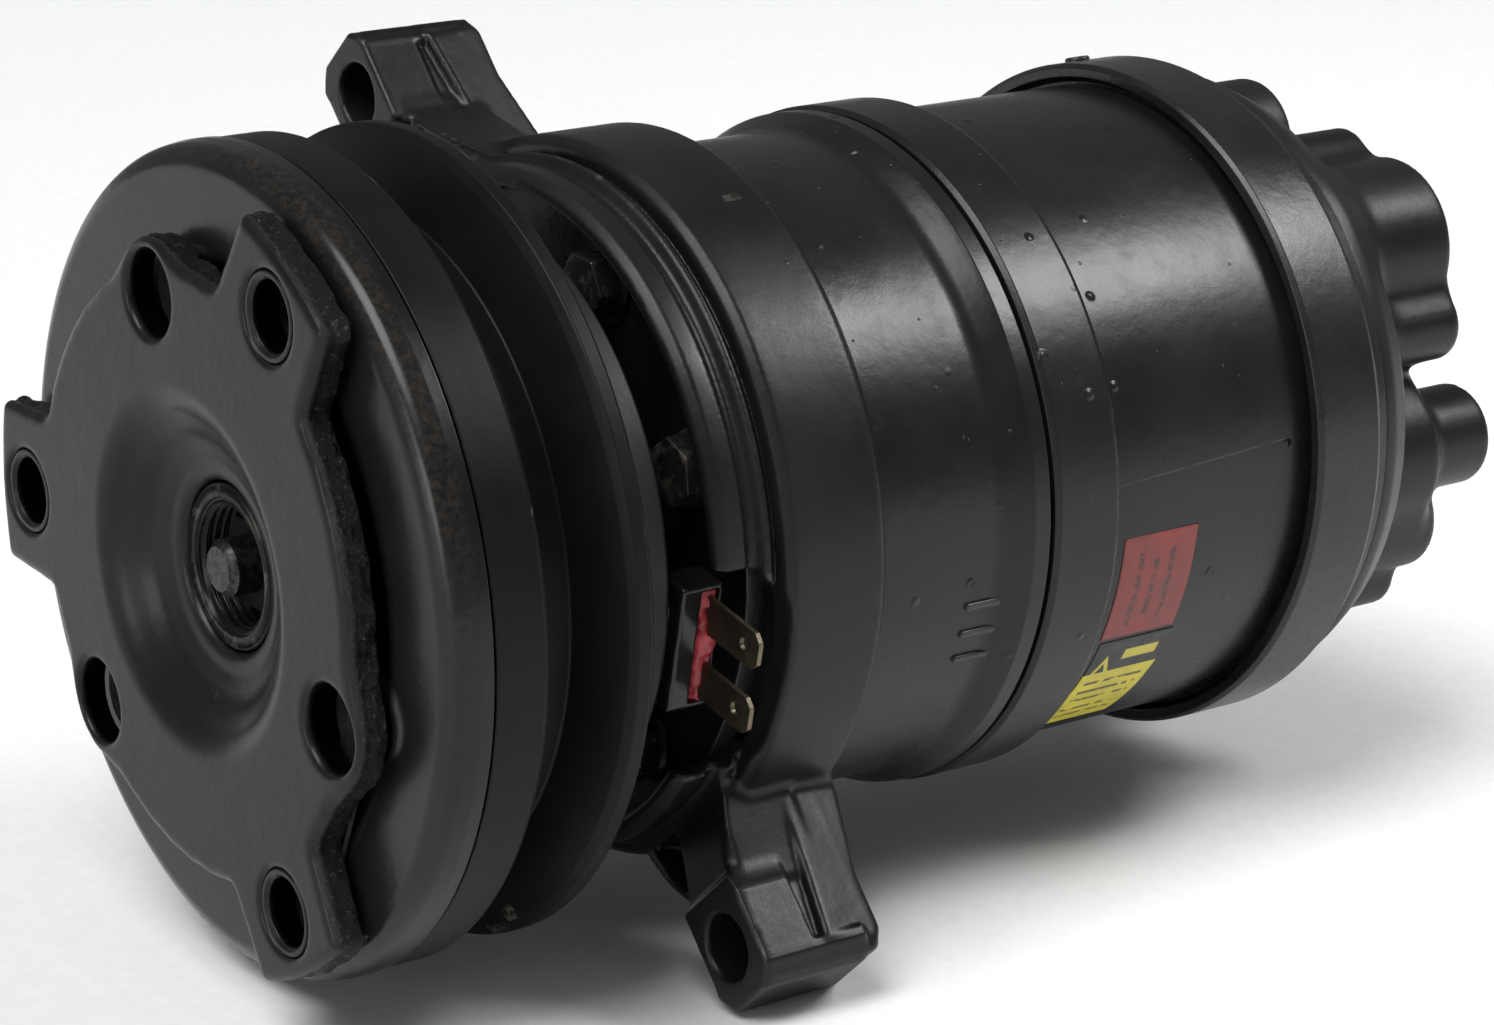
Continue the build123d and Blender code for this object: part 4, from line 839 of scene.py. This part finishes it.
def rear_head():
    flange = softened([(56.6, 121.2), (57.4, 119.4, 0.4), (CAP_R - 0.7, 119.4, 0.5), (CAP_R, 120.2, 0.5),
                       (CAP_R, 132.8, 0.8), (CAP_R - 1.1, 134.2, 0.8), (57.2, 135.0, 0.8), (56.9, 137.5),
                       (54, 137.5), (54, 121.2)], 0.3, 4)
    ring = lathe(flange, 384)
    space = Space((-61, 131.5, -61), (61, CAP_HIGH[1] + 1, 61), 0.63)
    inside_y, valve_angle, valve_circle_r = 136.4, -12.0, 36.9
    dome = [(-1, inside_y), (54, inside_y), (57.0, inside_y), (56.6, 140), (54.4, 144.5), (49, 146.5),
            (40, 147.5), (40, 158), (37, 160.5), (-1, 160.5)]
    body = outline_field(space.r, space.y, softened(dome, 1.2, 3))
    posts = BOSSES + tuple((angle, BOLT_CIRCLE_R - 0.8, 6.7, 165.0) for angle in BOLT_ANGLES)
    for angle, circle_r, boss_r, end in posts:
        post = extruded(space.hole(boss_r, circle_r, angle), space.y, 139, end, 1.5)
        body = joined(body, post, 4.0)
    stub = extruded(space.hole(9.1, valve_circle_r, valve_angle), space.y, 150, 175.2, 1.2)
    body = joined(body, stub, 3.0)
    # The two ports, their clamp bolt's hole and the relief valve's seat.
    for angle, circle_r, hole_r, start in ((44.5, 40.0, 8.75, 150.0), (104.5, 41.0, 7.25, 152.0),
                                           (74.5, 20.0, 4.25, 142.5),
                                           (valve_angle, valve_circle_r, 5.5, 160.0)):
        bore = np.maximum(space.hole(hole_r, circle_r, angle), start - space.y)
        body = carved(body, bore, 0.8)
    body = np.maximum(body, inside_y - space.y)
    nub = lathe(softened([(2.4, -2.4), (2.2, 0, 0.5), (0.02, 0)], 0.2, 3, closed=False), 32, closed=False)
    place_nub = ear_frame(104.5)
    nub_points = [place_nub(CAP_R + 0.75 + y, x, 127 + z) for x, y, z in nub[0]]
    made = piece("rear_head_flange", *merged(ring, (nub_points, nub[1])), CAP_PAINT, "housing", crisp=True)
    end = piece("rear_head_ports", *skin(space, body), CAST_PAINT, "housing")
    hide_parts("rear_head")
    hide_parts("rear_head")


def coil_case():
    rear, open_y = -8, -41.5
    outline = softened([(24.1, rear), (24.1, -12), (30.9, -12), (30.9, open_y), (33.4, open_y),
                        (33.4, -12.5), (47.7, -12.5), (47.7, open_y), (50.7, open_y),
                        (50.7, rear, 1.0)], 0.3, 3)
    made = piece("coil_case", *lathe(outline, 256), COIL_PAINT, "housing", crisp=True)
    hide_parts("coil_housing")


# ---- connector ----
def connector():
    """Moulded connector block: a tray with worn, rounded rims and a foot on the coil's rear face."""
    place_at = ear_frame(TERMINAL_ANGLE)
    half, face, front, rear = 11.0, 50.2, -6.2, 1.8
    space = Space((-half - 1, front - 2.2, 42), (half + 1, rear + 1, face + 1), 0.25)
    t, y, o = space.x, space.y, space.z
    body = block(t, y, [(-half, front), (half, front), (half, rear), (-half, rear)], o, 43.5, face, 0.8)
    foot = block(t, y, [(-7, -7.9), (7, -7.9), (7, -5.5), (-7, -5.5)], o, 43.5, 47.5, 0.3)
    body = joined(body, foot, 0.5)
    tray = block(t, y, [(-9.8, -2.1), (9.8, -2.1), (9.8, 1.0), (-9.8, 1.0)], o, face - 1.6, face + 3, 0.3)
    body = carved(body, tray, 0.6) + 0.05 * rough(space, (3, 7), 11)
    points, faces = skin(space, body)
    made = piece("coil_connector", [place_at(h, u, v) for u, v, h in points], faces, PLASTIC, "housing",
                 "connector_plastic")
    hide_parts("terminal_block")


def sealant():
    """Red sealant that has crept up round the blades in an uneven bead."""
    place_at = ear_frame(TERMINAL_ANGLE)
    space = Space((-11, -4.6, 47.8), (11, 2.2, 53), 0.25)
    t, y, o = space.x, space.y, space.z
    bead = block(t, y, [(-9.7, -2.0), (9.7, -2.0), (9.7, 0.9), (-9.7, 0.9)], o, 48.2, 49.6, 0.4)
    for _ in range(22):
        u, v, size = RNG.uniform(-9, 9), RNG.uniform(-1.3, 0.2), RNG.uniform(0.6, 0.95)
        drop = np.sqrt((t - u) ** 2 + (y - v) ** 2 + ((o - 49.9) * 1.3) ** 2) - size
        bead = joined(bead, drop, 1.2)
    middle = np.sqrt(((t - 0.2) * 0.8) ** 2 + (y + 0.8) ** 2 + (o - 50.0) ** 2) - 1.3
    bead = joined(bead, middle, 1.5) + 0.1 * rough(space, (1.5, 3.5), 9)
    points, faces = skin(space, bead)
    made = piece("connector_sealant", [place_at(h, u, v) for u, v, h in points], faces, SEALANT, "housing",
                 "sealant")
    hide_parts("terminal_sealant")


def blades():
    """Two 6.3 mm spades, each with a pierced eye."""
    place_at = ear_frame(TERMINAL_ANGLE)
    spades = []
    for offset in (-5.7, 5.7):
        half, tip = 3.15, 63.98
        outer = softened([(47, -half), (tip - 1.4, -half), (tip, -half + 1.3), (tip, half - 1.3),
                          (tip - 1.4, half), (47, half)], 0.6, 4)
        spades.append(pierced(outer, (tip - 3.9, 0.0), 1.05, -0.9, -0.1,
                              lambda u, v, h, d=offset: place_at(u, v + d, h)))
    made = piece("connector_blades", *merged(*spades), BLADE_METAL, "housing", "terminal_brass")
    bevel = made.modifiers.new("edges", "BEVEL")
    bevel.width, bevel.segments, bevel.limit_method = 0.14 * MM, 2, "ANGLE"
    made.modifiers.new("normals", "WEIGHTED_NORMAL")
    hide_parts("terminal_blades")


def pierced(outline, centre, radius, low, high, frame_of):
    """A flat plate with one round hole, as points and faces."""
    shape = bmesh.new()
    count = 24
    circle = [np.add(centre, polar(radius, 360 * k / count)) for k in range(count)]
    for level in (low, high):
        rim, hole = [[shape.verts.new((u, v, level)) for u, v in loop] for loop in (outline, circle)]
        edges = [shape.edges.new(pair) for loop in (rim, hole) for pair in zip(loop, loop[1:] + loop[:1])]
        bmesh.ops.triangle_fill(shape, use_beauty=True, use_dissolve=False, edges=edges)
    total = len(outline)
    verts = list(shape.verts)
    size = total + count
    for start, length in ((0, total), (total, count)):
        for k in range(length):
            a, b = start + k, start + (k + 1) % length
            shape.faces.new((verts[a], verts[b], verts[b + size], verts[a + size]))
    bmesh.ops.recalc_face_normals(shape, faces=shape.faces)
    shape.verts.index_update()
    points = [frame_of(*v.co) for v in shape.verts]
    faces = [tuple(v.index for v in f.verts) for f in shape.faces]
    shape.free()
    return points, facing(faces, frame_of)


# ---- labels ----
def label(name, node, material, slot_name, start, end, y0, y1):
    """A thin printed sheet wrapped round the barrel, with a slightly lifted corner."""
    columns, rows = 48, 32
    points, faces = [], []
    for i in range(columns + 1):
        for j in range(rows + 1):
            lift = 0.06 * max(0.0, (i / columns - 0.93) / 0.07) * (j / rows)
            c, s = polar(REAR_BARREL_R + 0.05 + lift, start + (end - start) * i / columns)
            points.append((c, y0 + (y1 - y0) * j / rows, s))
    for i in range(columns):
        for j in range(rows):
            a = i * (rows + 1) + j
            faces.append((a, a + 1, a + rows + 2, a + rows + 1))
    made = piece(name, points, faces, material, "housing", slot_name)
    sheet = made.modifiers.new("paper", "SOLIDIFY")
    sheet.thickness, sheet.offset = 0.09 * MM, 0.0
    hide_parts(node)


def red_print():
    s = Shader("red_label_print")
    _, y, angle = s.polar_place()
    patch = s.noise(5, 4)
    color = s.mix(s.ramp(patch, 0.3, 0.7), (0.16, 0.019, 0.017, 1), (0.22, 0.028, 0.024, 1))
    bars = [s.times(stripes(s, y, low, low + 1.2), stripes(s, angle, start, end, 0.3))
            for low, start, end in ((83.6, -24.6, -9.0), (87.0, -22.5, -11.2), (90.4, -23.8, -9.8))]
    worn = s.ramp(s.noise(1.0, 2), 0.4, 0.5)
    color = s.mix(s.times(s.times(s.most(bars), worn), 0.8), color, (0.03, 0.01, 0.01, 1))
    return s.finish(color, s.ramp(patch, 0.3, 0.7, 0.38, 0.5), s.bump(s.noise(0.5, 2), 0.01))


def yellow_print():
    s = Shader("yellow_label_print")
    _, y, angle = s.polar_place()
    patch = s.noise(4, 4)
    yellow = s.mix(s.ramp(patch, 0.3, 0.7), (0.5, 0.42, 0.03, 1), (0.62, 0.53, 0.05, 1))
    black = (0.012, 0.012, 0.012, 1)
    color = s.mix(s.ramp(angle, -36.3, -36.0), yellow, black)
    chevron = s.plus(s.times(s.math("ABSOLUTE", s.math("SUBTRACT", y, 83.6)), 2.4), angle)
    mark = s.times(stripes(s, chevron, -33.6, -31.6, 0.3), stripes(s, y, 81.6, 85.6, 0.1))
    title = s.times(stripes(s, angle, -33.4, -30.9, 0.2), stripes(s, y, 87.2, 94.6, 0.1))
    color = s.mix(s.math("MAXIMUM", mark, title), color, (0.52, 0.44, 0.05, 1))
    lines = s.most([stripes(s, angle, middle - 0.45, middle + 0.45, 0.15)
                    for middle in (-39.2, -42.0, -44.8, -48.4, -51.2)])
    dashes = s.ramp(s.noise(1.6, 1), 0.4, 0.46)
    lines = s.times(s.times(lines, dashes), stripes(s, y, 82.0, 94.8, 0.1))
    color = s.mix(s.times(lines, 0.85), color, black)
    return s.finish(color, s.ramp(patch, 0.3, 0.7, 0.36, 0.5), s.bump(s.noise(0.5, 2), 0.01))


# ---- CAD nodes left showing ----
def dress_hidden_nodes():
    """Every CAD node that is left showing gets a real material by its record slot."""
    recipes = {
        "ground_steel": plain_metal("ground_steel", (0.55, 0.55, 0.54), 0.25, 0.4),
        "bright_steel": plain_metal("bright_steel", (0.5, 0.49, 0.47), 0.35),
        "spring_steel": plain_metal("spring_steel", (0.16, 0.165, 0.18), 0.35),
        "zinc_bolt": BOLT_METAL,
        "hub_steel": HUB_METAL,
        "black_paint": PAINT,
        "machined_aluminium": plain_metal("machined_aluminium", (0.72, 0.72, 0.73), 0.3, 0.5),
        "rubber_seal": black_paint("rubber", 0.012, 0.6, 0.5),
        "gasket_fibre": black_paint("gasket_fibre", 0.07, 0.8, 1.5),
        "seal_ceramic": black_paint("seal_ceramic", 0.55, 0.2, 0.2),
        "copper_winding": plain_metal("copper_winding", (0.6, 0.27, 0.13), 0.35, 0.5),
    }
    special = {"shaft": shaft_steel(), "shaft_nut": black_paint("nut_oxide", 0.002, 0.6, 0.5, shine=0.06)}
    for entry in frame["record"]["subparts"]:
        node = entry["node"]
        if entry["material_slot"] in recipes and node in frame["nodes"]:
            made = frame["nodes"][node]
            made.data.materials.clear()
            made.data.materials.append(special.get(node) or recipes[entry["material_slot"]])


dress_hidden_nodes()
drive_plate()
plate_rings()
hub()
armature_plate()
pulley_rotor()
head_casting()
bolt_heads()
barrels()
rear_head()
coil_case()
connector()
sealant()
blades()
label("red_sticker", "red_label", red_print(), "red_print", start=-27.0, end=-6.4, y0=79.8, y1=95.8)
label("yellow_sticker", "yellow_label", yellow_print(), "yellow_print", start=-55.0, end=-27.8, y0=80.2,
      y1=96.4)


# ---- floor, light and camera ----
def studio():
    """The floor, and a dim world with one soft bright lobe in front of the part."""
    floor = bpy.data.meshes.new("floor")
    reach, height = 6.0, FLOOR_Z * MM
    floor.from_pydata([(-reach, -reach, height), (reach, -reach, height), (reach, reach, height),
                       (-reach, reach, height)], [], [(0, 1, 2, 3)])
    floor.materials.append(floor_material())
    made = bpy.data.objects.new("floor", floor)
    bpy.context.scene.collection.objects.link(made)
    world = bpy.data.worlds.new("studio")
    world.use_nodes = True
    nodes, links = world.node_tree.nodes, world.node_tree.links
    sky = nodes["Background"]
    sky.inputs["Color"].default_value = (0.95, 0.97, 1.0, 1)
    sight = nodes.new("ShaderNodeTexCoord")
    ahead = nodes.new("ShaderNodeVectorMath")
    ahead.operation = "DOT_PRODUCT"
    ahead.inputs[1].default_value = Vector((0.12, -0.98, 0.1)).normalized()
    links.new(sight.outputs["Generated"], ahead.inputs[0])
    card = nodes.new("ShaderNodeMapRange")
    card.interpolation_type = "SMOOTHSTEP"
    lobe_edge, lobe_core, dim, bright = 0.955, 0.99, 0.2, 5.0
    for socket, number in zip(card.inputs[1:5], (lobe_edge, lobe_core, dim, bright)):
        socket.default_value = number
    links.new(ahead.outputs["Value"], card.inputs[0])
    links.new(card.outputs[0], sky.inputs["Strength"])
    bpy.context.scene.world = world
    bpy.context.scene.view_settings.view_transform = "Standard"


def far_light(name, direction, width, power):
    """A distant soft light of the given angular width in degrees."""
    lamp = bpy.data.lights.new(name, "SUN")
    lamp.angle, lamp.energy = math.radians(width), power
    made = bpy.data.objects.new(name, lamp)
    made.rotation_mode = "QUATERNION"
    made.rotation_quaternion = Vector(direction).to_track_quat("Z", "Y")
    bpy.context.scene.collection.objects.link(made)


def near_light(name, where, target, size, power):
    """A soft box at a point in millimetres, turned to a target."""
    lamp = bpy.data.lights.new(name, "AREA")
    lamp.shape, lamp.size, lamp.size_y, lamp.energy = "RECTANGLE", size[0], size[1], power
    made = bpy.data.objects.new(name, lamp)
    made.location = Vector(where) * MM
    made.rotation_mode = "QUATERNION"
    made.rotation_quaternion = (Vector(where) - Vector(target)).to_track_quat("Z", "Y")
    bpy.context.scene.collection.objects.link(made)


def camera():
    """The photograph's viewpoint: level, with its own backward and rightward directions."""
    where = Vector((0.55899, -0.36005, 0.19764))
    back = Vector((0.77714, -0.56027, 0.28664))
    right = Vector((0.58483, 0.81116, 0)).normalized()
    lens = bpy.data.cameras.new("camera")
    lens.sensor_width, lens.lens = 36.0, 101.7
    made = bpy.data.objects.new("camera", lens)
    turn = Matrix((right, back.cross(right), back)).transposed()
    made.matrix_world = Matrix.Translation(where) @ turn.to_4x4()
    bpy.context.scene.collection.objects.link(made)
    bpy.context.scene.camera = made


studio()
near_light("key", where=(351, 570, 579), target=(43, 60, 35), size=(0.28, 0.25), power=3.9)
far_light("top_front", direction=(0.15, -0.50, 0.85), width=40, power=3.0)
camera()
